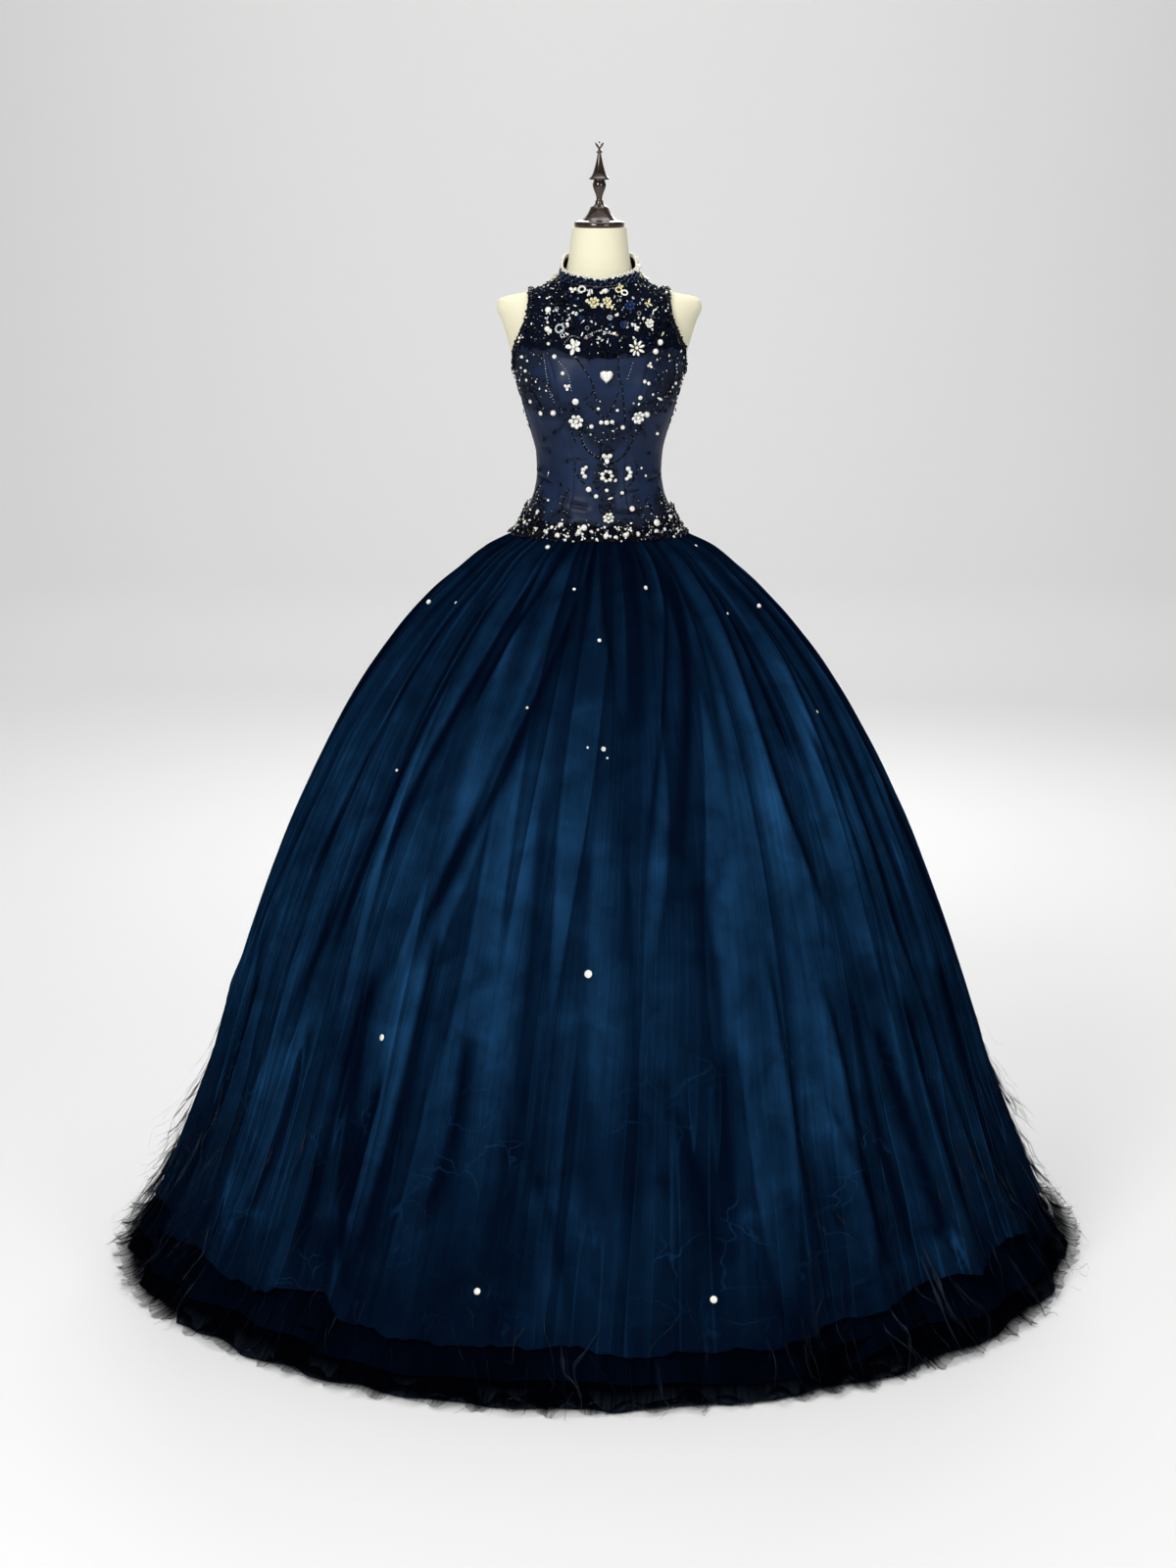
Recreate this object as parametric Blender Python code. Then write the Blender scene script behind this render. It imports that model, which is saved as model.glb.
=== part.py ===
"""Ball gown with a beaded halter bodice and a gathered floor-length skirt, on a limbless dress form.

Metres, +Z up. The gown faces -Y, so the wearer's left is +X. The origin is the centre of the
stand base's underside, on the floor. Angles round the body run from the centre front (0) through
the wearer's left (90) to the centre back (180).

Every piece of cloth is a closed wall between two offsets of one surface: the bodice, yoke and
collar are offset from the figure, and the three skirts from the gathered skirt's surface.
"""

import math
from collections import namedtuple

import bmesh
import bpy
from mathutils import Matrix, Vector

MM = 0.001

# ---------------------------------------------------------------- driving dimensions
SEAM_GAP = 0.3 * MM        # between any two pieces that are sewn or rest together
EASE = 3.0 * MM            # from the form to the inside of the bodice
YOKE_GAP = 0.9 * MM        # between lace and satin, whose curved edges are straight between columns
SATIN = 1.5 * MM           # wall of the satin bodice
LACE = 1.2 * MM            # wall of the lace yoke
ORGANZA = 1.5 * MM         # wall of each organza layer
NET = 1.5 * MM             # wall of the net underskirt

WAIST_SEAM = 1.2618        # dropped waist, where skirt and bodice are sewn
SKIRT_TOP = WAIST_SEAM - SEAM_GAP
TORSO_BOTTOM = 1.120
NECK_TOP = 1.7785
FLOOR_CLEARANCE = 1.5 * MM

BUST_RISE = 13 * MM        # how far each cup stands out of the plain section
BUST_ANGLE = 31            # where the cup's point is, degrees from the centre front
BUST_SPREAD = 19           # degrees
BUST_HEIGHT = 1.512
BUST_TALL = 0.045

ZIP_HALF_WIDTH = 4 * MM
SLIDER_HEIGHT = 1.690
SLIDER_LIFT = 0.6 * MM      # clears the strip's curve along the slider's flat base

# ---------------------------------------------------------------- section tables
# Horizontal sections of the form. A section is two half ellipses that meet at the sides; where
# "taper" is above 1, its sides are pointed, as through the top of the shoulders.
Section = namedtuple("Section", "height half_width front back taper")
FIGURE = [
    Section(1.120, 0.1460, 0.1000, 0.1180, 1.0),
    Section(1.180, 0.1520, 0.1040, 0.1220, 1.0),
    Section(1.250, 0.1400, 0.0960, 0.1120, 1.0),
    Section(1.300, 0.1195, 0.0880, 0.0950, 1.0),
    Section(1.335, 0.1060, 0.0830, 0.0820, 1.0),
    Section(1.367, 0.1018, 0.0820, 0.0760, 1.0),
    Section(1.400, 0.1035, 0.0850, 0.0760, 1.0),
    Section(1.434, 0.1115, 0.0900, 0.0790, 1.0),
    Section(1.467, 0.1215, 0.0955, 0.0830, 1.0),
    Section(1.500, 0.1305, 0.1005, 0.0880, 1.0),
    Section(1.535, 0.1400, 0.1035, 0.0910, 1.0),
    Section(1.583, 0.1530, 0.1000, 0.0940, 1.1),
    Section(1.620, 0.1640, 0.0875, 0.0905, 1.2),
    Section(1.645, 0.1735, 0.0745, 0.0835, 1.3),
    Section(1.655, 0.1722, 0.0690, 0.0798, 1.4),
    Section(1.661, 0.1660, 0.0655, 0.0770, 1.5),
    Section(1.667, 0.1420, 0.0620, 0.0738, 1.5),
    Section(1.674, 0.1040, 0.0575, 0.0700, 1.4),
    Section(1.684, 0.0800, 0.0525, 0.0640, 1.2),
    Section(1.696, 0.0640, 0.0480, 0.0575, 1.1),
    Section(1.712, 0.0550, 0.0450, 0.0510, 1.0),
    Section(1.735, 0.0505, 0.0455, 0.0495, 1.0),
    Section(1.7785, 0.0460, 0.0460, 0.0460, 1.0),
]

# Horizontal sections of the skirt over its ridges, from the waist seam to the floor.
SKIRT = [
    Section(1.275, 0.1300, 0.0950, 0.1080, 1.0),
    Section(1.262, 0.1480, 0.1080, 0.1230, 1.0),
    Section(1.232, 0.2050, 0.1650, 0.1800, 1.0),
    Section(1.198, 0.2450, 0.2080, 0.2200, 1.0),
    Section(1.164, 0.2830, 0.2500, 0.2600, 1.0),
    Section(1.096, 0.3440, 0.3180, 0.3260, 1.0),
    Section(0.993, 0.4170, 0.3980, 0.4020, 1.0),
    Section(0.889, 0.4760, 0.4620, 0.4650, 1.0),
    Section(0.714, 0.5570, 0.5520, 0.5520, 1.0),
    Section(0.537, 0.6240, 0.6240, 0.6240, 1.0),
    Section(0.357, 0.6820, 0.6820, 0.6820, 1.0),
    Section(0.212, 0.7380, 0.7380, 0.7380, 1.0),
    Section(0.102, 0.7860, 0.7860, 0.7860, 1.0),
    Section(0.028, 0.8330, 0.8330, 0.8330, 1.0),
    Section(0.000, 0.8480, 0.8480, 0.8480, 1.0),
]

# The skirt's folds, each a trough with a ridge on either side, from the centre back round by the
# wearer's right. Angles are degrees at the waist and at the hem, depths are millimetres.
Fold = namedtuple("Fold", "waist hem waist_depth middle_depth hem_depth")
FOLDS = [
    Fold(-180, -180, 10, 14, 16),
    Fold(-163, -165, 9, 16, 24),
    Fold(-147, -150, 12, 12, 18),
    Fold(-132, -133, 8, 18, 26),
    Fold(-117, -119, 11, 13, 17),
    Fold(-102, -103, 9, 17, 25),
    Fold(-88, -90, 10, 12, 20),
    Fold(-73, -76, 8, 15, 24),
    Fold(-59, -62, 12, 11, 20),
    Fold(-45, -49, 9, 14, 17),
    Fold(-31, -37, 11, 12, 20),
    Fold(-17, -28, 10, 9, 13),
    Fold(-4, -17, 13, 10, 10),
    Fold(10, -4, 13, 7, 12),
    Fold(25, 9, 15, 13, 13),
    Fold(41, 26, 14, 11, 15),
    Fold(56, 42, 10, 15, 19),
    Fold(71, 58, 9, 12, 21),
    Fold(86, 75, 11, 16, 18),
    Fold(101, 92, 9, 13, 24),
    Fold(117, 110, 12, 17, 19),
    Fold(132, 128, 8, 12, 25),
    Fold(147, 145, 10, 15, 17),
    Fold(163, 163, 9, 13, 22),
]
FOLD_COUNT = len(FOLDS)
FOLD_MIDDLE = 0.72         # height at which the middle depths hold
OVERSKIRT_COLUMNS = 4      # in each fold: trough, flank, ridge, flank
INNER_COLUMNS = 2          # in each fold: trough, ridge

# Overskirt panels: from which fold's trough to which, and how high each hem is.
OverskirtPanel = namedtuple("OverskirtPanel", "name first_fold last_fold hem")
OVERSKIRT = [
    OverskirtPanel("overskirt_back_right", 0, 5, 0.080),
    OverskirtPanel("overskirt_side_right", 5, 11, 0.086),
    OverskirtPanel("overskirt_front", 11, 15, 0.072),
    OverskirtPanel("overskirt_side_left", 15, 20, 0.096),
    OverskirtPanel("overskirt_back_left", 20, 24, 0.080),
]
OVERSKIRT_ROWS = [SKIRT_TOP, 1.232, 1.180, 1.095, 0.960, 0.780, 0.580, 0.380, 0.200]
MIDSKIRT_ROWS = [1.240, 1.095, 0.780, 0.380, 0.120, 0.036]
UNDERSKIRT_ROWS = [1.222, 1.085, 0.780, 0.380, 0.120, 0.036, FLOOR_CLEARANCE]

# How far inside the overskirt each inner skirt hangs, by height.
Inset = namedtuple("Inset", "height midskirt underskirt")
INSETS = [
    Inset(0.000, 0.004, 0.008),
    Inset(0.036, 0.008, 0.016),
    Inset(0.090, 0.018, 0.034),
    Inset(0.200, 0.024, 0.046),
    Inset(1.100, 0.024, 0.046),
    Inset(1.262, 0.008, 0.016),
]

# Top edge of the satin, by angle: sweetheart in front, low under the arm, straight at the back.
EdgeHeight = namedtuple("EdgeHeight", "angle height")
SATIN_TOP = [
    EdgeHeight(0, 1.568),
    EdgeHeight(14, 1.576),
    EdgeHeight(30, 1.584),
    EdgeHeight(48, 1.586),
    EdgeHeight(62, 1.584),
    EdgeHeight(71, 1.562),
    EdgeHeight(79, 1.543),
    EdgeHeight(90, 1.535),
    EdgeHeight(101, 1.543),
    EdgeHeight(109, 1.562),
    EdgeHeight(118, 1.584),
    EdgeHeight(140, 1.588),
    EdgeHeight(180, 1.590),
]
NECKLINE = [
    EdgeHeight(0, 1.680),
    EdgeHeight(45, 1.686),
    EdgeHeight(90, 1.700),
    EdgeHeight(135, 1.706),
    EdgeHeight(180, 1.708),
]
# Half the width of the lace between the armholes, by height.
ArmholeEdge = namedtuple("ArmholeEdge", "height half_width")
ARMHOLE = [
    ArmholeEdge(1.560, 0.1405),
    ArmholeEdge(1.584, 0.1350),
    ArmholeEdge(1.610, 0.1240),
    ArmholeEdge(1.634, 0.1160),
    ArmholeEdge(1.655, 0.1125),
    ArmholeEdge(1.690, 0.1110),
]

# Seams of the bodice, in degrees, by height.
Seam = namedtuple("Seam", "height princess side back")
SEAMS = [
    Seam(1.262, 27, 90, 140),
    Seam(1.367, 24, 90, 146),
    Seam(1.512, 31, 90, 143),
    Seam(1.590, 36, 90, 140),
]

# Collar: how high it stands and how far it leans from the neckline, by angle.
CollarEdge = namedtuple("CollarEdge", "angle rise out")
COLLAR = [
    CollarEdge(0, 0.012, 0.001),
    CollarEdge(45, 0.017, -0.001),
    CollarEdge(90, 0.023, -0.006),
    CollarEdge(135, 0.022, -0.003),
    CollarEdge(180, 0.020, -0.002),
]
COLLAR_WALL = 2.0 * MM
BELT_HEIGHT = 27 * MM
BELT_WALL = 3.5 * MM
BELT_CLEAR = 1.2 * MM       # from the satin, whose columns differ from the belt's
TRIM_RADIUS = 3.0 * MM
TRIM_CLEAR = 1.2 * MM       # from the cloth's edge, whose sides are straight between columns

# Turned profile of the neck cap and its finial, from the neck up.
Turning = namedtuple("Turning", "height radius")
NECK_CAP = [
    Turning(1.7788, 0.0415),
    Turning(1.7830, 0.0425),
    Turning(1.7885, 0.0415),
    Turning(1.7910, 0.0285),
    Turning(1.7960, 0.0235),
    Turning(1.8050, 0.0175),
    Turning(1.8120, 0.0145),
    Turning(1.8155, 0.0090),
    Turning(1.8185, 0.0065),
    Turning(1.8220, 0.0065),
    Turning(1.8250, 0.0048),
    Turning(1.8330, 0.0062),
    Turning(1.8430, 0.0105),
    Turning(1.8500, 0.0112),
    Turning(1.8560, 0.0090),
    Turning(1.8585, 0.0172),
    Turning(1.8620, 0.0160),
    Turning(1.8750, 0.0090),
    Turning(1.9000, 0.0030),
    Turning(1.9035, 0.0058),
    Turning(1.9100, 0.0064),
    Turning(1.9160, 0.0045),
    Turning(1.9210, 0.0012),
]
STAND_BASE = [
    Turning(0.0000, 0.1850),
    Turning(0.0080, 0.1900),
    Turning(0.0160, 0.1860),
    Turning(0.0200, 0.1700),
    Turning(0.0240, 0.0600),
    Turning(0.0340, 0.0380),
    Turning(0.0600, 0.0260),
    Turning(0.0620, 0.0220),
]
POLE_RADIUS = 0.0160
TURNED_SIDES = 20

# Colours are linear RGB; each row is a material's colour, roughness and metallic value.
Finish = namedtuple("Finish", "name colour roughness metallic")
SATIN_NAVY = Finish("satin_navy", (0.018, 0.030, 0.085), 0.42, 0.0)
LACE_BLACK = Finish("lace_black", (0.006, 0.007, 0.012), 0.75, 0.0)
ORGANZA_BLUE = Finish("organza_blue", (0.006, 0.040, 0.120), 0.50, 0.0)
ORGANZA_NAVY = Finish("organza_navy", (0.003, 0.010, 0.035), 0.60, 0.0)
NET_BLACK = Finish("net_black", (0.003, 0.003, 0.005), 0.85, 0.0)
BEAD_BLACK = Finish("bead_black", (0.008, 0.008, 0.014), 0.20, 0.0)
STONE_CREAM = Finish("stone_cream", (0.600, 0.580, 0.480), 0.25, 0.0)
FORM_CREAM = Finish("form_cream", (0.860, 0.800, 0.580), 0.70, 0.0)
WOOD_DARK = Finish("wood_dark", (0.020, 0.010, 0.006), 0.20, 0.0)
POLE_STEEL = Finish("pole_steel", (0.500, 0.500, 0.500), 0.35, 1.0)
ZIP_TAPE = Finish("zip_tape", (0.010, 0.016, 0.045), 0.80, 0.0)
ZIP_METAL = Finish("zip_metal", (0.030, 0.040, 0.080), 0.35, 1.0)


# ---------------------------------------------------------------- curves through the tables
def curve_through(rows, across, value):
    """A smooth curve through one column of a table that never overshoots its rows."""
    xs = [getattr(row, across) for row in rows]
    ys = [getattr(row, value) for row in rows]
    if xs[0] > xs[-1]:
        xs.reverse()
        ys.reverse()
    spans = range(len(xs) - 1)
    slopes = [(ys[i + 1] - ys[i]) / (xs[i + 1] - xs[i]) for i in spans]
    tangents = [slopes[0]]
    for before, after in zip(slopes, slopes[1:]):
        same_way = before * after > 0
        tangents.append(2 * before * after / (before + after) if same_way else 0.0)
    tangents.append(slopes[-1])

    def at(x):
        if x <= xs[0]:
            return ys[0] + (x - xs[0]) * tangents[0]
        if x >= xs[-1]:
            return ys[-1] + (x - xs[-1]) * tangents[-1]
        i = next(k for k in spans if x <= xs[k + 1])
        span = xs[i + 1] - xs[i]
        t = (x - xs[i]) / span
        rise = ys[i] * (1 + 2 * t) * (1 - t) ** 2 + ys[i + 1] * t * t * (3 - 2 * t)
        lean = span * (tangents[i] * t * (1 - t) ** 2 - tangents[i + 1] * t * t * (1 - t))
        return rise + lean

    return at


def section_curves(table):
    return {field: curve_through(table, "height", field) for field in Section._fields[1:]}


figure_curves = section_curves(FIGURE)
skirt_curves = section_curves(SKIRT)
satin_top_curve = curve_through(SATIN_TOP, "angle", "height")
neckline_curve = curve_through(NECKLINE, "angle", "height")
armhole_curve = curve_through(ARMHOLE, "height", "half_width")
princess_curve = curve_through(SEAMS, "height", "princess")
side_curve = curve_through(SEAMS, "height", "side")
back_curve = curve_through(SEAMS, "height", "back")
collar_rise_curve = curve_through(COLLAR, "angle", "rise")
collar_out_curve = curve_through(COLLAR, "angle", "out")
inset_curves = {
    "overskirt": lambda height: 0.0,
    "midskirt": curve_through(INSETS, "height", "midskirt"),
    "underskirt": curve_through(INSETS, "height", "underskirt"),
}


def satin_top(angle):
    return satin_top_curve(abs(angle))


def neckline(angle):
    return neckline_curve(abs(angle))


# ---------------------------------------------------------------- the figure's surface
def section_point(curves, angle, height, inward=0.0):
    """The point of a section at an angle in degrees, moved straight in towards the middle."""
    side = math.sin(math.radians(angle))
    ahead = math.cos(math.radians(angle))
    depth = curves["front"](height) if ahead > 0 else curves["back"](height)
    reach = (depth - inward) * abs(ahead) ** curves["taper"](height)
    half_width = curves["half_width"](height) - inward
    return Vector((half_width * side, -math.copysign(reach, ahead), height))


def figure_point(angle, height):
    point = section_point(figure_curves, angle, height)
    off_cup = (abs(angle) - BUST_ANGLE) / BUST_SPREAD
    off_level = (height - BUST_HEIGHT) / BUST_TALL
    point.y -= BUST_RISE * math.exp(-off_cup * off_cup - off_level * off_level)
    return point


def surface_normal(surface, across, height, step_across, step_up):
    """Outward normal of surface(across, height), by differences."""
    along = surface(across + step_across, height) - surface(across - step_across, height)
    up = surface(across, height + step_up) - surface(across, height - step_up)
    return along.cross(up).normalized()


def figure_normal(angle, height):
    return surface_normal(figure_point, angle, height, 0.5, 0.5 * MM)


def on_figure(angle, height, out):
    return figure_point(angle, height) + figure_normal(angle, height) * out


def arc_angle(angle, height, distance):
    """The angle that moves a point of the figure this far round its section."""
    per_degree = (figure_point(angle + 0.5, height) - figure_point(angle - 0.5, height)).length
    return distance / per_degree


# ---------------------------------------------------------------- the gathered skirt's surface
fold_depth_curves = []
for fold in FOLDS:
    FoldDepth = namedtuple("FoldDepth", "height depth")
    fold_depth_curves.append(curve_through([
        FoldDepth(0.0, fold.hem_depth * MM),
        FoldDepth(FOLD_MIDDLE, fold.middle_depth * MM),
        FoldDepth(1.225, fold.waist_depth * MM),
        FoldDepth(WAIST_SEAM, fold.waist_depth * 0.25 * MM),
        FoldDepth(1.300, fold.waist_depth * 0.25 * MM),
    ], "height", "depth"))


def fold_angle(index, height):
    """The angle of a trough; past the last fold the table starts again, a turn further on."""
    turns, row = divmod(index, FOLD_COUNT)
    down = 1 - height / WAIST_SEAM
    return FOLDS[row].waist + (FOLDS[row].hem - FOLDS[row].waist) * math.sqrt(max(down, 0.0)) \
        + 360 * turns


def skirt_point(place, height, inward=0.0):
    """A point of the skirt; place counts folds from the centre back, so 2.5 is a ridge."""
    index = math.floor(place)
    share = place - index
    angle = fold_angle(index, height) * (1 - share) + fold_angle(index + 1, height) * share
    depths = [fold_depth_curves[k % FOLD_COUNT](height) for k in (index, index + 1)]
    depth = depths[0] * (1 - share) + depths[1] * share
    trough = 0.5 + 0.5 * math.cos(2 * math.pi * share)
    return section_point(skirt_curves, angle, height, inward + depth * trough)


# ---------------------------------------------------------------- meshes and objects
def clear_scene():
    for old in list(bpy.data.objects):
        bpy.data.objects.remove(old, do_unlink=True)


def material_of(finish):
    material = bpy.data.materials.get(finish.name)
    if material is None:
        material = bpy.data.materials.new(finish.name)
        material.use_nodes = True
        shader = material.node_tree.nodes["Principled BSDF"]
        shader.inputs["Base Color"].default_value = (*finish.colour, 1.0)
        shader.inputs["Roughness"].default_value = finish.roughness
        shader.inputs["Metallic"].default_value = finish.metallic
    return material


def add_object(name, mesh, finish, sharp_angle=40):
    mesh.materials.append(material_of(finish))
    mesh.shade_smooth()
    mesh.set_sharp_from_angle(angle=math.radians(sharp_angle))
    thing = bpy.data.objects.new(name, mesh)
    bpy.context.scene.collection.objects.link(thing)
    return thing


def add_faces(name, points, faces, finish):
    mesh = bpy.data.meshes.new(name)
    mesh.from_pydata([tuple(point) for point in points], [], faces)
    mesh.validate()
    return add_object(name, mesh, finish)


def add_wall(name, inner, outer, finish, closed=False):
    """A closed wall between two grids of points, rows from the bottom up, columns towards +angle."""
    rows, columns = len(inner), len(inner[0])
    points = [point for grid in (inner, outer) for row in grid for point in row]
    last = columns if closed else columns - 1

    def at(layer, row, column):
        return (layer * rows + row) * columns + column % columns

    faces = []
    for row in range(rows - 1):
        for column in range(last):
            a, b = at(1, row, column), at(1, row, column + 1)
            c, d = at(1, row + 1, column + 1), at(1, row + 1, column)
            faces += [(a, b, c), (a, c, d)]
            a, b = at(0, row, column), at(0, row, column + 1)
            c, d = at(0, row + 1, column + 1), at(0, row + 1, column)
            faces += [(a, c, b), (a, d, c)]
    for column in range(last):
        low = [at(0, 0, column), at(0, 0, column + 1), at(1, 0, column + 1), at(1, 0, column)]
        top = [at(1, rows - 1, column), at(1, rows - 1, column + 1),
               at(0, rows - 1, column + 1), at(0, rows - 1, column)]
        faces += [tuple(low), tuple(top)]
    if not closed:
        for row in range(rows - 1):
            end = columns - 1
            faces.append((at(0, row, 0), at(1, row, 0), at(1, row + 1, 0), at(0, row + 1, 0)))
            faces.append((at(1, row, end), at(0, row, end), at(0, row + 1, end),
                          at(1, row + 1, end)))
    return add_faces(name, points, faces, finish)


def add_turned(name, profile, finish, sides=TURNED_SIDES):
    """A solid turned about the Z axis from a profile that runs upwards."""
    points = []
    for row in profile:
        for side in range(sides):
            turn = 2 * math.pi * side / sides
            points.append((row.radius * math.cos(turn), row.radius * math.sin(turn), row.height))
    faces = [tuple(reversed(range(sides)))]
    for ring in range(len(profile) - 1):
        for side in range(sides):
            after = (side + 1) % sides
            faces.append((ring * sides + side, ring * sides + after,
                          (ring + 1) * sides + after, (ring + 1) * sides + side))
    faces.append(tuple(range((len(profile) - 1) * sides, len(profile) * sides)))
    return add_faces(name, points, faces, finish)


def share_steps(count):
    return [step / count for step in range(count + 1)]


# ---------------------------------------------------------------- the dress form and its stand
def form_heights():
    """The table's heights, with one more between each two that cross the bust."""
    heights = [row.height for row in FIGURE]
    between = [(low + high) / 2 for low, high in zip(heights, heights[1:])]
    return sorted(heights + [height for height in between if abs(height - BUST_HEIGHT) < 0.1])


def build_form():
    sides = 32
    heights = form_heights()
    points = []
    for height in heights:
        points += [figure_point(360 * side / sides, height) for side in range(sides)]
    faces = [tuple(reversed(range(sides)))]
    for ring in range(len(heights) - 1):
        for side in range(sides):
            a, b = ring * sides + side, ring * sides + (side + 1) % sides
            faces += [(a, b, b + sides), (a, b + sides, a + sides)]
    faces.append(tuple(range((len(heights) - 1) * sides, len(heights) * sides)))
    add_faces("form_torso", points, faces, FORM_CREAM)
    add_turned("form_neck_cap", NECK_CAP, WOOD_DARK)


def build_stand():
    add_turned("stand_base", STAND_BASE, WOOD_DARK, sides=28)
    pole_foot = STAND_BASE[-1].height + SEAM_GAP
    pole = [Turning(pole_foot, POLE_RADIUS), Turning(TORSO_BOTTOM - SEAM_GAP, POLE_RADIUS)]
    add_turned("stand_pole", pole, POLE_STEEL, sides=20)


# ---------------------------------------------------------------- the satin bodice
def bodice_panel(name, left_edge, right_edge, columns, rows=10):
    """A panel between two edges, each a function that gives the angle at a height."""
    inner, outer = [], []
    for up in share_steps(rows):
        level = WAIST_SEAM + (satin_top(30) - WAIST_SEAM) * up
        start, end = left_edge(level), right_edge(level)
        ends = []
        for share in share_steps(columns):
            angle = start + (end - start) * share
            height = WAIST_SEAM + (satin_top(angle) - WAIST_SEAM) * up
            ends.append((angle, height))
        inner.append([on_figure(angle, height, EASE) for angle, height in ends])
        outer.append([on_figure(angle, height, EASE + SATIN) for angle, height in ends])
    add_wall(name, inner, outer, SATIN_NAVY)


def seam_edge(curve, side, after):
    """One edge of a seam at side * curve degrees; after says that the panel lies past it."""
    def edge(height):
        angle = side * curve(height)
        shift = arc_angle(angle, height, SEAM_GAP / 2)
        return angle + (shift if after else -shift)
    return edge


def zip_edge(side):
    """The back panel's edge beside the zip strip."""
    def edge(height):
        shift = arc_angle(180, height, ZIP_HALF_WIDTH + SEAM_GAP)
        return side * (180 - shift)
    return edge


def build_bodice():
    bodice_panel("bodice_front", seam_edge(princess_curve, -1, True),
                 seam_edge(princess_curve, 1, False), 6)
    bodice_panel("bodice_side_front_left", seam_edge(princess_curve, 1, True),
                 seam_edge(side_curve, 1, False), 5)
    bodice_panel("bodice_side_back_left", seam_edge(side_curve, 1, True),
                 seam_edge(back_curve, 1, False), 5)
    bodice_panel("bodice_back_left", seam_edge(back_curve, 1, True), zip_edge(1), 2)
    bodice_panel("bodice_side_front_right", seam_edge(side_curve, -1, True),
                 seam_edge(princess_curve, -1, False), 5)
    bodice_panel("bodice_side_back_right", seam_edge(back_curve, -1, True),
                 seam_edge(side_curve, -1, False), 5)
    bodice_panel("bodice_back_right", zip_edge(-1), seam_edge(back_curve, -1, False), 2)


# ---------------------------------------------------------------- the lace yoke and its edging
def yoke_height(angle, up):
    low = satin_top(angle) + YOKE_GAP
    return low + (neckline(angle) - low) * up


def armhole_angle(up, back):
    """Where the yoke's row ends: at the armhole, or on the shoulder line above it."""
    def beyond(angle):
        around = 180 - angle if back else angle
        height = yoke_height(around, up)
        return figure_point(around, height).x - armhole_curve(height)

    past = [angle for angle in range(30, 91, 3) if beyond(angle) >= 0]
    if not past:
        return 90
    low, high = past[0] - 3.0, float(past[0])
    for _ in range(30):
        middle = (low + high) / 2
        if beyond(middle) < 0:
            low = middle
        else:
            high = middle
    return low


YOKE_ROWS = [0.0, 0.17, 0.34, 0.49, 0.61, 0.69, 0.745, 0.79, 0.85, 0.92, 1.0]


def yoke_panel(name, first, last, columns):
    """A lace panel; first and last give its edge angles for each share of the height."""
    inner, outer = [], []
    for up in YOKE_ROWS:
        start, end = first(up), last(up)
        angles = [start + (end - start) * share for share in share_steps(columns)]
        row = [(angle, yoke_height(angle, up)) for angle in angles]
        inner.append([on_figure(angle, height, EASE) for angle, height in row])
        outer.append([on_figure(angle, height, EASE + LACE) for angle, height in row])
    add_wall(name, inner, outer, LACE_BLACK)


def build_yoke():
    def front_end(up):
        angle = armhole_angle(up, back=False)
        return angle - arc_angle(angle, yoke_height(angle, up), SEAM_GAP / 2)

    def back_end(up):
        angle = 180 - armhole_angle(up, back=True)
        return angle + arc_angle(angle, yoke_height(angle, up), SEAM_GAP / 2)

    def beside_zip(up):
        return zip_edge(1)(yoke_height(180, up))

    yoke_panel("yoke_front", lambda up: -front_end(up), front_end, 12)
    yoke_panel("yoke_back_left", back_end, beside_zip, 6)
    yoke_panel("yoke_back_right", lambda up: -beside_zip(up), lambda up: -back_end(up), 6)


def armhole_loop(side):
    """Angles and heights once round an armhole: down the front, under the arm and up the back."""
    front, back = [], []
    for up in YOKE_ROWS:
        angle = armhole_angle(up, back=False)
        if angle == 90:
            break
        front.append((angle, yoke_height(angle, up)))
        angle = 180 - armhole_angle(up, back=True)
        back.append((angle, yoke_height(angle, up)))
    under = []
    for share in share_steps(8)[1:-1]:
        angle = front[0][0] + (back[0][0] - front[0][0]) * share
        under.append((angle, satin_top(angle)))
    top = yoke_height(90, YOKE_ROWS[len(front)] - 0.01)
    loop = [(90, top)] + front[::-1] + under + back
    return [(side * angle, height) for angle, height in loop]


def build_armhole_trim(name, side):
    """A round beaded edging, just clear of the cloth's edge all the way round."""
    sides = 6
    loop = armhole_loop(side)
    centre = Vector()
    for angle, height in loop:
        centre += figure_point(angle, height) / len(loop)
    rows = []
    for index, (angle, height) in enumerate(loop):
        here = figure_point(angle, height)
        before = figure_point(*loop[index - 1])
        after = figure_point(*loop[(index + 1) % len(loop)])
        normal = figure_normal(angle, height)
        away = (after - before).cross(normal).normalized()
        if away.dot(centre - here) < 0:
            away = -away
        middle = here + away * (TRIM_RADIUS + TRIM_CLEAR) + normal * (EASE + SATIN)
        ring = []
        for corner in range(sides):
            turn = 2 * math.pi * corner / sides
            ring.append(middle + TRIM_RADIUS * (away * math.cos(turn) + normal * math.sin(turn)))
        rows.append(ring)
    points = [point for ring in rows for point in ring]
    faces = []
    for row in range(len(rows)):
        after = (row + 1) % len(rows)
        for corner in range(sides):
            beyond = (corner + 1) % sides
            faces.append((row * sides + corner, row * sides + beyond,
                          after * sides + beyond, after * sides + corner))
    trim = add_faces(name, points, faces, BEAD_BLACK)
    face_outwards(trim)


def face_outwards(thing):
    work = bmesh.new()
    work.from_mesh(thing.data)
    bmesh.ops.recalc_face_normals(work, faces=work.faces)
    work.to_mesh(thing.data)
    work.free()


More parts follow.
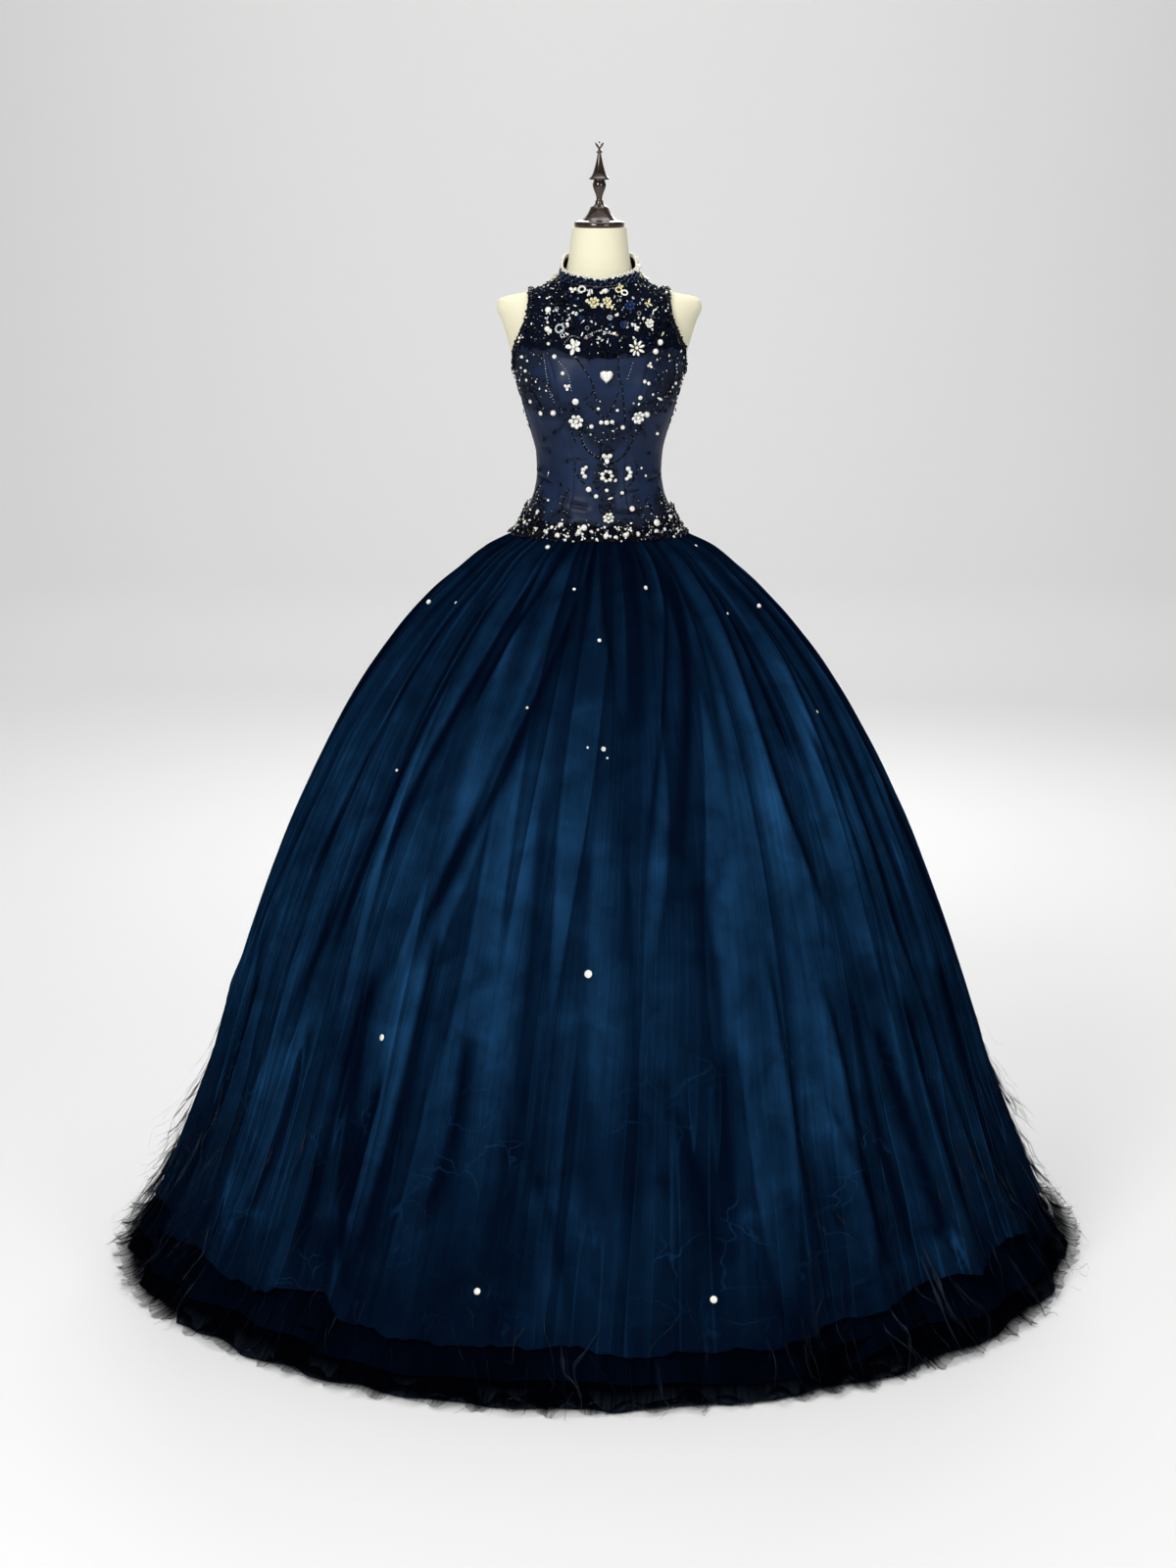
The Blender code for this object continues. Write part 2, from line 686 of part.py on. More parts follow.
# ---------------------------------------------------------------- collar, belt and zip
def build_collar():
    inner, outer = [], []
    opening = 0.4
    angles = [-180 + opening + (360 - 2 * opening) * share for share in share_steps(32)]
    for up in share_steps(2):
        near, far = [], []
        for angle in angles:
            foot = neckline(angle) + 2 * SEAM_GAP
            level = foot + collar_rise_curve(abs(angle)) * up
            base = figure_point(angle, foot)
            away = Vector((base.x, base.y, 0)).normalized()
            flat = base + away * (EASE + LACE + collar_out_curve(abs(angle)) * up)
            flat.z = level + (EASE + LACE) * max(figure_normal(angle, foot).z, 0)
            near.append(flat)
            far.append(flat + away * COLLAR_WALL)
        inner.append(near)
        outer.append(far)
    add_wall("collar", inner, outer, BEAD_BLACK)


def build_belt():
    inner, outer = [], []
    opening = 0.4
    angles = [-180 + opening + (360 - 2 * opening) * share for share in share_steps(36)]
    lift = EASE + SATIN + BELT_CLEAR
    for up in share_steps(1):
        height = WAIST_SEAM + BELT_HEIGHT * up
        inner.append([on_figure(angle, height, lift) for angle in angles])
        outer.append([on_figure(angle, height, lift + BELT_WALL) for angle in angles])
    add_wall("waist_belt", inner, outer, STONE_CREAM)


def build_zip():
    inner, outer = [], []
    top = neckline(180)
    for up in share_steps(16):
        height = WAIST_SEAM + (top - WAIST_SEAM) * up
        centre, normal = figure_point(180, height), figure_normal(180, height)
        edges = [Vector((side * ZIP_HALF_WIDTH, 0, 0)) for side in (1, -1)]
        inner.append([centre + edge + normal * EASE for edge in edges])
        outer.append([centre + edge + normal * (EASE + SATIN) for edge in edges])
    add_wall("zip_strip", inner, outer, ZIP_TAPE)


def slider_frame():
    """Axes of the zip slider: X across, Y out of the back, Z up along the zip."""
    normal = figure_normal(180, SLIDER_HEIGHT)
    across = Vector((1, 0, 0))
    up = across.cross(normal)
    frame = Matrix((across, normal, up)).transposed().to_4x4()
    frame.translation = on_figure(180, SLIDER_HEIGHT, EASE + SATIN + SLIDER_LIFT)
    return frame


def extrude_outline(name, outline, half_thickness, finish):
    """An outline in the slider's Y and Z, extruded to both sides along X."""
    count = len(outline)
    points = [(side * half_thickness, y, z) for side in (-1, 1) for y, z in outline]
    faces = [tuple(range(count)), tuple(reversed(range(count, 2 * count)))]
    for corner in range(count):
        after = (corner + 1) % count
        faces.append((after, corner, corner + count, after + count))
    thing = add_faces(name, points, faces, finish)
    face_outwards(thing)
    return thing


def build_slider(frame):
    gap, plate, length, width = SEAM_GAP, 1.9 * MM, 6 * MM, 4.5 * MM
    base = extrude_outline("zip_slider", [(gap, -length), (gap, length), (plate, length),
                                          (plate, -length)], width, ZIP_METAL)
    for vertex in base.data.vertices:
        if vertex.co.z < 0:
            vertex.co.x *= 0.72
    leg, foot, under, over, sunk = 5.2 * MM, 1.0 * MM, 4.6 * MM, 5.6 * MM, 1.5 * MM
    arch = [(sunk, -leg), (over, -leg), (over, leg), (sunk, leg),
            (sunk, leg - foot), (under, leg - foot), (under, foot - leg), (sunk, foot - leg)]
    bridge = extrude_outline("slider_bridge", arch, 1.2 * MM, ZIP_METAL)
    bridge.hide_render = True
    bridge.display_type = "WIRE"
    union = base.modifiers.new("bridge", "BOOLEAN")
    union.operation = "UNION"
    union.object = bridge
    base.matrix_world = frame
    bridge.matrix_world = frame


def build_pull(frame):
    """A flat pull with a window; its top bar passes under the slider's bridge."""
    across = [-3.2, -2.0, 2.0, 3.2]
    along = [0.6, -0.6, -7.0, -20.0, -22.5]
    work = bmesh.new()
    grid = [[work.verts.new((x * MM, -0.6 * MM, z * MM)) for x in across] for z in along]
    for vertex in grid[-1]:
        vertex.co.x *= 0.6
    for row in range(len(along) - 1):
        for column in range(len(across) - 1):
            if (row, column) != (1, 1):
                work.faces.new((grid[row][column], grid[row][column + 1],
                                grid[row + 1][column + 1], grid[row + 1][column]))
    made = bmesh.ops.extrude_face_region(work, geom=work.faces[:])
    moved = [item for item in made["geom"] if isinstance(item, bmesh.types.BMVert)]
    bmesh.ops.translate(work, verts=moved, vec=(0, 1.2 * MM, 0))
    bmesh.ops.recalc_face_normals(work, faces=work.faces)
    mesh = bpy.data.meshes.new("zip_pull")
    work.to_mesh(mesh)
    work.free()
    pull = add_object("zip_pull", mesh, ZIP_METAL)
    pull.matrix_world = frame @ Matrix.Translation((0, 3.25 * MM, 0))


# ---------------------------------------------------------------- the three skirts
def skirt_wall(name, first, last, rows, layer, per_fold, thickness, finish, closed=False):
    """One layer of the skirt between two folds' troughs, rows from the waist down to the hem."""
    columns = (last - first) * per_fold
    inset = inset_curves[layer]

    def surface(place, height):
        return skirt_point(place, height, inset(height))

    outer, inner = [], []
    for height in reversed(rows):
        near, far = [], []
        for column in range(columns if closed else columns + 1):
            place = first + column / per_fold
            if not closed and column in (0, columns):
                width = (surface(place + 0.05, height) - surface(place - 0.05, height)).length
                shift = SEAM_GAP / 2 / (width / 0.1)
                place += shift if column == 0 else -shift
            normal = surface_normal(surface, place, height, 0.1, 2 * MM)
            point = surface(place, height)
            far.append(point)
            near.append(point - normal * thickness)
        outer.append(far)
        inner.append(near)
    lift = max(0.0, min(row.z for grid in (inner[0], outer[0]) for row in grid) * -1 + 1 * MM)
    for row in (inner[0], outer[0]):
        for point in row:
            point.z += lift
    add_wall(name, inner, outer, finish, closed)


def build_skirts():
    for panel in OVERSKIRT:
        skirt_wall(panel.name, panel.first_fold, panel.last_fold, OVERSKIRT_ROWS + [panel.hem],
                   "overskirt", OVERSKIRT_COLUMNS, ORGANZA, ORGANZA_BLUE)
    skirt_wall("midskirt", 0, FOLD_COUNT, MIDSKIRT_ROWS, "midskirt", INNER_COLUMNS, ORGANZA,
               ORGANZA_NAVY, closed=True)
    skirt_wall("underskirt", 0, FOLD_COUNT, UNDERSKIRT_ROWS, "underskirt", INNER_COLUMNS, NET,
               NET_BLACK, closed=True)


def build_all():
    clear_scene()
    build_form()
    build_stand()
    build_bodice()
    build_yoke()
    build_armhole_trim("armhole_trim_left", 1)
    build_armhole_trim("armhole_trim_right", -1)
    build_collar()
    build_belt()
    build_zip()
    frame = slider_frame()
    build_slider(frame)
    build_pull(frame)
    build_skirts()


build_all()
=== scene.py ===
# %% [markdown]
# # A ball gown on a dress form
#
# A beaded halter bodice in navy satin and black lace sits on a limbless cream form. Below the
# dropped waist hang three gathered skirts: blue organza, navy organza and black net. The packed
# part is the frame that every piece here rides on. Each cell builds one thing and prints what it
# made.

import math

import bpy
import numpy as np
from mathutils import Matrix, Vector


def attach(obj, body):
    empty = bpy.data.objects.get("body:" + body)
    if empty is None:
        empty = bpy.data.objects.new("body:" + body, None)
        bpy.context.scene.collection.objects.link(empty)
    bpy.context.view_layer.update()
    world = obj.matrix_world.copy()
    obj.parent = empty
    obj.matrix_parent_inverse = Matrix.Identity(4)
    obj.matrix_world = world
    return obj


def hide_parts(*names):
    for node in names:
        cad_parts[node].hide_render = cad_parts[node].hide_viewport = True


MM = 0.001
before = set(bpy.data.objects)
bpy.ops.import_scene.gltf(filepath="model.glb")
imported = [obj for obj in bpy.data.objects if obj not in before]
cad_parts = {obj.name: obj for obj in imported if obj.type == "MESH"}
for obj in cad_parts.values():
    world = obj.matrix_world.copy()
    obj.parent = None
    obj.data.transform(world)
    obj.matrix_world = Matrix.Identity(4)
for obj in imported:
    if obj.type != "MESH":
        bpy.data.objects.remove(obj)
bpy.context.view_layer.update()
COARSE = 1

# %% [markdown]
# A dress form and a full skirt are round and smooth. They could be sculpted, but then cloth, beads
# and form would each need fitting to the next, while a table of level sections gives one surface
# that all share. The gown faces -Y. Angles run from 0 at the front to 90 at the wearer's left.

# %% Section tables
# Height, half width, reach to the front, reach to the back, and how square the section is.
FIGURE = [
    (1.12, .146, .1, .118, 1.0), (1.18, .152, .104, .122, 1.0),
    (1.25, .14, .096, .112, 1.0), (1.3, .1195, .088, .095, 1.0),
    (1.335, .106, .083, .082, 1.0), (1.367, .1018, .082, .076, 1.0),
    (1.4, .1035, .085, .076, 1.0), (1.434, .1115, .09, .079, 1.0),
    (1.467, .1215, .0955, .083, 1.0), (1.5, .1305, .1005, .088, 1.0),
    (1.535, .14, .1035, .091, 1.0), (1.583, .153, .1, .094, 1.1),
    (1.62, .164, .0875, .0905, 1.2), (1.645, .1735, .0745, .0835, 1.3),
    (1.655, .1722, .069, .0798, 1.4), (1.661, .166, .0655, .077, 1.5),
    (1.667, .142, .062, .0738, 1.5), (1.674, .104, .0575, .07, 1.4),
    (1.684, .08, .0525, .064, 1.2), (1.696, .064, .048, .0575, 1.1),
    (1.712, .055, .045, .051, 1.0), (1.735, .0505, .0455, .0495, 1.0),
    (1.7785, .046, .046, .046, 1.0),
]
# Height, half width, reach to the front, reach to the back.
SKIRT = [
    (1.275, .13, .095, .108), (1.262, .148, .108, .123),
    (1.232, .205, .165, .18), (1.198, .245, .208, .22),
    (1.164, .283, .25, .26), (1.096, .344, .318, .326),
    (.993, .417, .398, .402), (.889, .476, .462, .465),
    (.714, .557, .552, .552), (.537, .624, .624, .624),
    (.357, .682, .682, .682), (.212, .738, .738, .738),
    (.102, .786, .786, .786), (.028, .833, .833, .833),
    (.000, .848, .848, .848),
]
# Each fold's trough: degrees at the waist and at the hem, then millimetres deep at three heights.
FOLDS = [
    (-180, -180, 10, 14, 16), (-163, -165, 9, 16, 24), (-147, -150, 12, 12, 18),
    (-132, -133, 8, 18, 26), (-117, -119, 11, 13, 17), (-102, -103, 9, 17, 25),
    (-88, -90, 10, 12, 20), (-73, -76, 8, 15, 24), (-59, -62, 12, 11, 20),
    (-45, -49, 9, 14, 17), (-31, -37, 11, 12, 20), (-17, -28, 10, 9, 13),
    (-4, -17, 13, 10, 10), (10, -4, 13, 7, 12), (25, 9, 15, 13, 13), (41, 26, 14, 11, 15),
    (56, 42, 10, 15, 19), (71, 58, 9, 12, 21), (86, 75, 11, 16, 18), (101, 92, 9, 13, 24),
    (117, 110, 12, 17, 19), (132, 128, 8, 12, 25), (147, 145, 10, 15, 17), (163, 163, 9, 13, 22),
]
WAIST_SEAM = 1.2618
# A cup's middle in degrees, its half width in degrees, its height, half height and fullness.
CUP_TURN, CUP_WIDE, CUP_LEVEL, CUP_TALL, CUP_FULL = 31, 19, 1.512, 0.045, 0.013
# The rest give a height, a reach or an angle: by angle for edges and the collar, by height for
# the armhole's reach and the seams.
SATIN_TOP = [(0, 1.568), (14, 1.576), (30, 1.584), (48, 1.586), (62, 1.584), (71, 1.562),
             (79, 1.543), (90, 1.535), (101, 1.543), (109, 1.562), (118, 1.584), (140, 1.588),
             (180, 1.59)]
NECKLINE = [(0, 1.68), (45, 1.686), (90, 1.7), (135, 1.706), (180, 1.708)]
ARMHOLE = [(1.56, 0.1405), (1.584, 0.135), (1.61, 0.124), (1.634, 0.116), (1.655, 0.1125),
           (1.69, 0.111)]
COLLAR_RISE = [(0, 0.012), (45, 0.017), (90, 0.023), (135, 0.022), (180, 0.02)]
COLLAR_LEAN = [(0, 0.001), (45, -0.001), (90, -0.006), (135, -0.003), (180, -0.002)]
SEAM_HEIGHTS = [1.262, 1.367, 1.512, 1.59]
PRINCESS, SIDE, BACK = [27, 24, 31, 36], [90, 90, 90, 90], [140, 146, 143, 140]
print("sections:", len(FIGURE), "figure,", len(SKIRT), "skirt,", len(FOLDS), "folds")

# %% [markdown]
# A smooth curve runs through each column. A common spline can swing past its points and put a
# bulge where cloth lies flat, so this one's slopes are held back.

# %% Curves through the tables
def curve(xs, ys):
    """A smooth curve through the points that never overshoots them."""
    order = np.argsort(xs)
    x, y = np.asarray(xs, float)[order], np.asarray(ys, float)[order]
    span = np.diff(x)
    slope = np.diff(y) / span
    joint = slope[:-1] * slope[1:]
    inner = np.where(joint > 0, 2 * joint / np.where(joint > 0, slope[:-1] + slope[1:], 1), 0)
    tangent = np.concatenate([slope[:1], inner, slope[-1:]])

    def at(value):
        value = np.asarray(value, float)
        i = np.clip(np.searchsorted(x, value) - 1, 0, len(span) - 1)
        t = np.clip((value - x[i]) / span[i], 0, 1)
        rise = y[i] * (1 + 2 * t) * (1 - t) ** 2 + y[i + 1] * t * t * (3 - 2 * t)
        lean = span[i] * (tangent[i] * t * (1 - t) ** 2 - tangent[i + 1] * t * t * (1 - t))
        below, above = np.minimum(value - x[0], 0), np.maximum(value - x[-1], 0)
        return rise + lean + below * tangent[0] + above * tangent[-1]

    return at


def table_curves(table):
    columns = list(zip(*table))
    return [curve(columns[0], column) for column in columns[1:]]


figure_curves = table_curves(FIGURE)
skirt_curves = table_curves(SKIRT)
(satin_top,), (neckline,), (armhole,) = map(table_curves, (SATIN_TOP, NECKLINE, ARMHOLE))
(collar_rise,), (collar_lean,) = map(table_curves, (COLLAR_RISE, COLLAR_LEAN))
princess, side_seam, back_seam = (curve(SEAM_HEIGHTS, row) for row in (PRINCESS, SIDE, BACK))
print("half width of the waist:", round(float(figure_curves[0](1.367)), 4), "m")


# %% [markdown]
# A point on the form is found from an angle and a height, and cloth is placed a few millimetres
# out along the normal there.

# %% Points on the form
def level_point(curves, angle, height, inward=0.0):
    turn = np.radians(angle)
    ahead = np.cos(turn)
    depth = np.where(ahead > 0, curves[1](height), curves[2](height)) - inward
    taper = curves[3](height) if len(curves) > 3 else 1.0
    reach = depth * np.abs(ahead) ** taper
    across = (curves[0](height) - inward) * np.sin(turn)
    return np.stack([across, -np.copysign(reach, ahead), height + 0 * turn], -1)


def turn_between(angle, other):
    return (angle - other + 180) % 360 - 180


def paired(first, second):
    return np.broadcast_arrays(np.asarray(first, float), np.asarray(second, float))


def figure_point(angle, height):
    angle, height = paired(angle, height)
    point = level_point(figure_curves, angle, height)
    off_cup = (np.abs(turn_between(angle, 0)) - CUP_TURN) / CUP_WIDE
    off_level = (height - CUP_LEVEL) / CUP_TALL
    point[..., 1] -= CUP_FULL * np.exp(-off_cup ** 2 - off_level ** 2)
    return point


def run_along(across, up):
    """The distance from a path's start to each of its points."""
    return np.concatenate([[0], np.cumsum(np.hypot(np.diff(across), np.diff(up)))])


def sideways(angle):
    """0 at the front and back, 1 at the sides."""
    return np.abs(np.sin(np.radians(angle)))


def unit(vectors):
    return vectors / np.maximum(np.linalg.norm(vectors, axis=-1, keepdims=True), 1e-12)


def degree_along(angle, height):
    """The step round the form that one degree makes."""
    return figure_point(angle + 0.5, height) - figure_point(angle - 0.5, height)


def figure_normal(angle, height):
    up = figure_point(angle, height + 0.5 * MM) - figure_point(angle, height - 0.5 * MM)
    return unit(np.cross(degree_along(angle, height), up))


def on_figure(angle, height, out):
    out = np.asarray(out, float)[..., None]
    return figure_point(angle, height) + figure_normal(angle, height) * out


def arc_angle(angle, height, distance):
    """How many degrees a distance takes up round the form."""
    return distance / np.linalg.norm(degree_along(angle, height), axis=-1)


print("neck:", np.round(figure_point(0.0, 1.735), 3))


# %% [markdown]
# A gathered skirt folds at the same places from waist to hem, and each fold fans out as it falls.
# So a place is counted in folds from the centre back, and its angle and depth follow.

# %% Points on the skirt
LEVELS = np.linspace(0, 1.3, 521)
fold_depths = np.array([
    curve([0, 0.72, 1.225, WAIST_SEAM, 1.3], [hem, middle, waist, waist / 4, waist / 4])(LEVELS)
    for _, _, waist, middle, hem in FOLDS]) * MM
fold_waist, fold_hem = (np.array(column, float) for column in list(zip(*FOLDS))[:2])


def trough_angle(index, height):
    turns, row = np.divmod(index, len(FOLDS))
    down = np.sqrt(np.clip(1 - height / WAIST_SEAM, 0, None))
    return fold_waist[row] + (fold_hem[row] - fold_waist[row]) * down + 360 * turns


def skirt_angle(place, height):
    """Degrees round the skirt; place counts folds from the centre back."""
    index = np.floor(place).astype(int)
    share = place - index
    return trough_angle(index, height) * (1 - share) + trough_angle(index + 1, height) * share


def fold_depth(place, height):
    index = np.floor(place).astype(int)
    share = place - index
    level = np.clip(height / LEVELS[1], 0, len(LEVELS) - 1.001)
    low = level.astype(int)
    here, after = ((1 + low - level) * fold_depths[fold % len(FOLDS), low]
                   + (level - low) * fold_depths[fold % len(FOLDS), low + 1]
                   for fold in (index, index + 1))
    mixed = here * (1 - share) + after * share
    return mixed * (0.5 + 0.5 * np.cos(2 * np.pi * share))


def skirt_point(place, height, inward=0.0):
    place, height = paired(place, height)
    return level_point(skirt_curves, skirt_angle(place, height), height,
                       inward + fold_depth(place, height))


def grid_normals(points, closed=False):
    if closed:
        along = np.roll(points, -1, 1) - np.roll(points, 1, 1)
    else:
        along = np.gradient(points, axis=1)
    return unit(np.cross(along, np.gradient(points, axis=0)))


print("widest level of the skirt:", round(float(skirt_curves[0](0.0)), 3), "m")

# %% [markdown]
# Real cloth is never even. Sums of waves with fixed seeds give swells and crumples that are the
# same at each run, and unlike a noise texture they close on themselves round the skirt.

# %% Waves
def waves(angle, height, seed, across, along, count=14):
    """An uneven surface, mostly between -1 and 1: whole waves a turn and part waves a metre."""
    pick = np.random.default_rng(seed)
    total = 0
    for _ in range(count):
        turns = pick.integers(across[0], across[1] + 1)
        drop = pick.uniform(*along) * pick.choice([-1, 1])
        shift = pick.uniform(0, 2 * np.pi)
        total = total + np.cos(turns * np.radians(angle) + 2 * np.pi * drop * height + shift)
    return total / (1.5 * math.sqrt(count))


def ripple(angle, seed, low, high, count=14):
    """Waves along an edge, the same at every height."""
    return waves(angle, 0, seed, (low, high), (0, 0.1), count)


def smooth(value, low, high):
    t = np.clip((value - low) / (high - low), 0, 1)
    return t * t * (3 - 2 * t)


wave = ripple(np.arange(360), 5, 7, 40)
print("a wave runs from", round(float(wave.min()), 2), "to", round(float(wave.max()), 2))

# %% [markdown]
# The creases that catch the eye are listed one by one, each with its own path, width and height, as
# soft ridges and troughs. Cloth simulation would drape the skirt too, but not with these creases.

# %% Crease tables
# Skirt creases: height and angle at the top, height and angle at the foot, how far the path bows
# (degrees), half width at the top and foot (mm), height (mm, troughs below zero), sharper side.
CREASES = [
    (1.255, -4, .83, -24.5, -1.8, 8, 24, 6, .45), (1.25, -9, .6, -33, -1.5, 7, 16, -5, -.3),
    (1.256, 0, 1.05, 4, -1.2, 8, 14, 5, .4), (1.252, 28, .8, 7.5, -3.0, 6, 10, 5, .6),
    (1.25, 33, .72, 13, -2.5, 6, 12, -5, .5), (1.244, 44, .66, 41, -5.0, 7, 14, 5, .5),
    (1.246, 50, .9, 46, -3.0, 7, 12, -4, -.4), (1.23, 15, .95, 9, -1.0, 7, 15, -4, .3),
    (1.24, -18, 1.00, -31, -1.5, 6, 12, 5, -.4), (1.24, -27, .7, -43, -3.0, 7, 14, 4, .4),
    (1.23, -38, .55, -50, -2.0, 6, 13, 5, .5), (1.23, -44, .45, -56, 2.0, 6, 11, -5, -.5),
    (1.22, 60, .6, 52, -2.0, 7, 13, 5, .5), (1.22, 65, .5, 58, 1.5, 6, 11, -5, .4),
    (1.21, 74, .55, 66, -2.0, 6, 12, 4, -.5), (1.21, -53, .62, -63, -1.0, 6, 12, 4, .4),
    (.9, -12, .2, -15, 1.5, 14, 22, 4, .3), (.85, -2, .3, -1, -1.0, 12, 20, -4, .3),
    (.86, 5, .12, 4, 1.4, 10, 22, 5, -.4), (.8, 18, .16, 16, 1.0, 12, 24, -5, .4),
    (.66, 27, .09, 27.5, .4, 7, 9, 6, .8), (.7, -28, .12, -33, .8, 11, 20, 5, .4),
    (.62, -38, .1, -41, -.8, 10, 18, -5, -.4), (.5, -40, .09, -31, -2.0, 15, 20, 6, .1),
    (.6, 36, .12, 35, 1.2, 9, 17, 5, .4), (.52, 47, .11, 50, .6, 8, 16, -5, .4),
    (.42, 33, .12, 37, 1.0, 10, 15, 4, .25), (.36, -10, .1, -4, 1.0, 9, 14, 4, .5),
    (.5, 8, .16, 15, 1.5, 12, 18, -4, .2), (.55, -20, .22, -24, 1.5, 12, 18, -4, -.2),
    (.66, 58, .12, 62, 1.0, 9, 16, 5, .4), (.58, 70, .11, 69, -1.0, 9, 15, -5, .5),
    (.64, -58, .12, -60, 1.0, 9, 16, 5, -.4), (.56, -68, .11, -71, 1.0, 9, 15, -5, .5),
    (.52, -50, .1, -54, .8, 8, 13, 6, .6), (.46, -33, .1, -36, -.6, 9, 20, -6, .3),
    (.6, 43, .12, 45, -.8, 8, 13, 6, -.6), (.55, 54, .12, 57, .8, 9, 16, -5, .4),
    (1.23, 82, .7, 79, 2.0, 7, 13, 5, .4), (1.22, 91, .45, 84, -2.0, 6, 14, -5, .5),
    (1.24, 104, .8, 98, 2.0, 8, 14, 5, -.4), (1.22, 113, .55, 105, -3.0, 7, 13, 4, .5),
    (1.23, 123, .85, 119, 2.0, 6, 12, -5, -.4), (1.24, 138, .62, 131, -3.5, 7, 16, 5, .5),
    (1.22, 150, .95, 153, 1.5, 7, 12, 5, .4), (1.25, 158, .5, 150, -2.0, 6, 14, -5, .5),
    (1.24, 171, .72, 169, 2.5, 7, 15, 5, -.5), (1.24, -171, .6, -176, 2.0, 6, 13, -4, .4),
    (1.22, -160, .85, -157, 1.5, 8, 12, 5, .4), (1.25, -149, .55, -158, -3.0, 7, 15, 5, .5),
    (1.23, -138, .9, -142, 1.0, 6, 12, -5, -.4), (1.24, -125, .48, -128, 3.0, 7, 15, 5, .4),
    (1.22, -112, .8, -116, -2.0, 7, 13, -4, .5), (1.23, -97, .6, -93, 2.0, 6, 14, 5, .5),
    (1.22, -84, .75, -86, 1.0, 7, 12, -5, .4), (1.21, -68, .5, -78, -1.5, 6, 12, 5, -.5),
    (.8, 90, .14, 94, 1.5, 10, 18, 5, .4), (.62, 104, .1, 109, -1.0, 10, 20, -5, .3),
    (.72, 122, .16, 119, 1.5, 11, 18, 5, -.4), (.5, 137, .1, 130, -2.0, 12, 18, 6, .25),
    (.66, 149, .2, 154, 1.0, 9, 16, -5, .4), (.44, 165, .1, 158, 2.0, 10, 16, 5, .5),
    (.58, 178, .12, 172, 1.0, 12, 20, 5, -.4), (.74, -166, .18, -170, -1.5, 10, 18, -5, .4),
    (.46, -152, .1, -145, 2.0, 12, 18, 6, .25), (.68, -139, .15, -136, 1.0, 11, 19, 5, .4),
    (.6, -122, .12, -127, -1.0, 9, 16, -5, .4), (.76, -108, .14, -104, 1.5, 10, 18, 5, .4),
    (.5, -97, .1, -91, 2.0, 9, 15, 5, -.6), (.64, -82, .12, -83, -1.0, 9, 16, -5, .4),
]
# Short creases that lie across the skirt: height, angle, half length (degrees), tilt (mm a
# degree), half width (mm), height (mm).
CROSS_CREASES = [
    (1.2, 12, 7, .6, 5, -4), (.145, 42, 9, 1.2, 6, 3), (.18, 47, 7, -.8, 5, -3),
    (.235, 38, 6, .9, 6, 3), (.26, 20, 5, -1.0, 6, 2), (.16, -12, 7, .5, 7, 2),
    (.23, -36, 6, 1.4, 6, 3), (.33, -6, 5, .8, 7, -2), (.12, 30, 5, .6, 5, -2),
    (.37, 33, 5, -1.5, 6, 2), (.2, -52, 6, -.9, 6, 3), (.17, 66, 7, 1.1, 6, 3),
    (.22, 95, 7, -.9, 6, 3), (.15, 124, 6, .7, 6, -3), (.3, 142, 5, 1.3, 6, 3),
    (.19, 166, 7, -.6, 7, 3), (.25, -168, 6, .9, 6, -3), (.16, -146, 7, .8, 6, 3),
    (.21, -118, 6, -1.1, 6, 3), (.14, -98, 7, .6, 6, -2), (.28, -77, 5, 1.0, 6, 3),
]
print("creases placed by hand:", len(CREASES) + len(CROSS_CREASES))


# %% [markdown]
# A ridge of shiny cloth is light on one flank and dark on the other. Each crease lifts the mesh
# and also paints that light and shade, because a lift of 5 mm alone is too soft to show.

# %% Creases, gathers and fine folds
def creases(angle, height):
    """How far the creases lift the cloth, in metres, and how they light or shade it."""
    radius = skirt_curves[0](height) * math.radians(1)
    total = np.zeros(np.broadcast(angle, height).shape)
    light = total.copy()
    for top, top_angle, foot, foot_angle, bow, top_width, foot_width, rise, skew in CREASES:
        way = (top - height) / (top - foot)
        share = np.clip(way, 0, 1)
        path = top_angle + (foot_angle - top_angle) * way + bow * np.sin(np.pi * share)
        off = turn_between(angle, path) * radius
        width = (top_width + (foot_width - top_width) * share) * MM
        narrow = off * np.sign(skew)
        side = width * np.where(narrow > 0, 1 - 0.85 * abs(skew) ** 0.5, 1.25 + abs(skew))
        side = np.maximum(side, np.maximum(5 * MM, 0.8 * radius))
        fade = smooth(way, -0.04, 0.14) * smooth(way, 1.08, 0.72)
        total += 1.25 * rise * MM * fade * np.exp(-(off / side) ** 2)
        if rise > 0:
            shine = 0.45 * np.exp(-(off / (2.2 * width)) ** 2)
            shade = -0.85 * np.exp(-(off / (1.6 * width)) ** 2)
            light += fade * (shine + (shade - shine) * smooth(narrow, -0.7 * radius, 1.1 * radius))
        else:
            light -= 0.75 * fade * np.exp(-(off / (1.2 * side)) ** 2)
    for level, middle, half, tilt, width, rise in CROSS_CREASES:
        off = turn_between(angle, middle)
        line = level + tilt * off * MM + 4 * MM * np.sin(off * 0.5 + middle)
        fade = smooth(np.abs(off), half, half * 0.3)
        total += rise * MM * fade * np.exp(-((height - line) / (width * MM)) ** 2)
        light += 0.3 * np.sign(rise) * fade * np.exp(-((height - line) / (1.5 * width * MM)) ** 2)
    return total, light


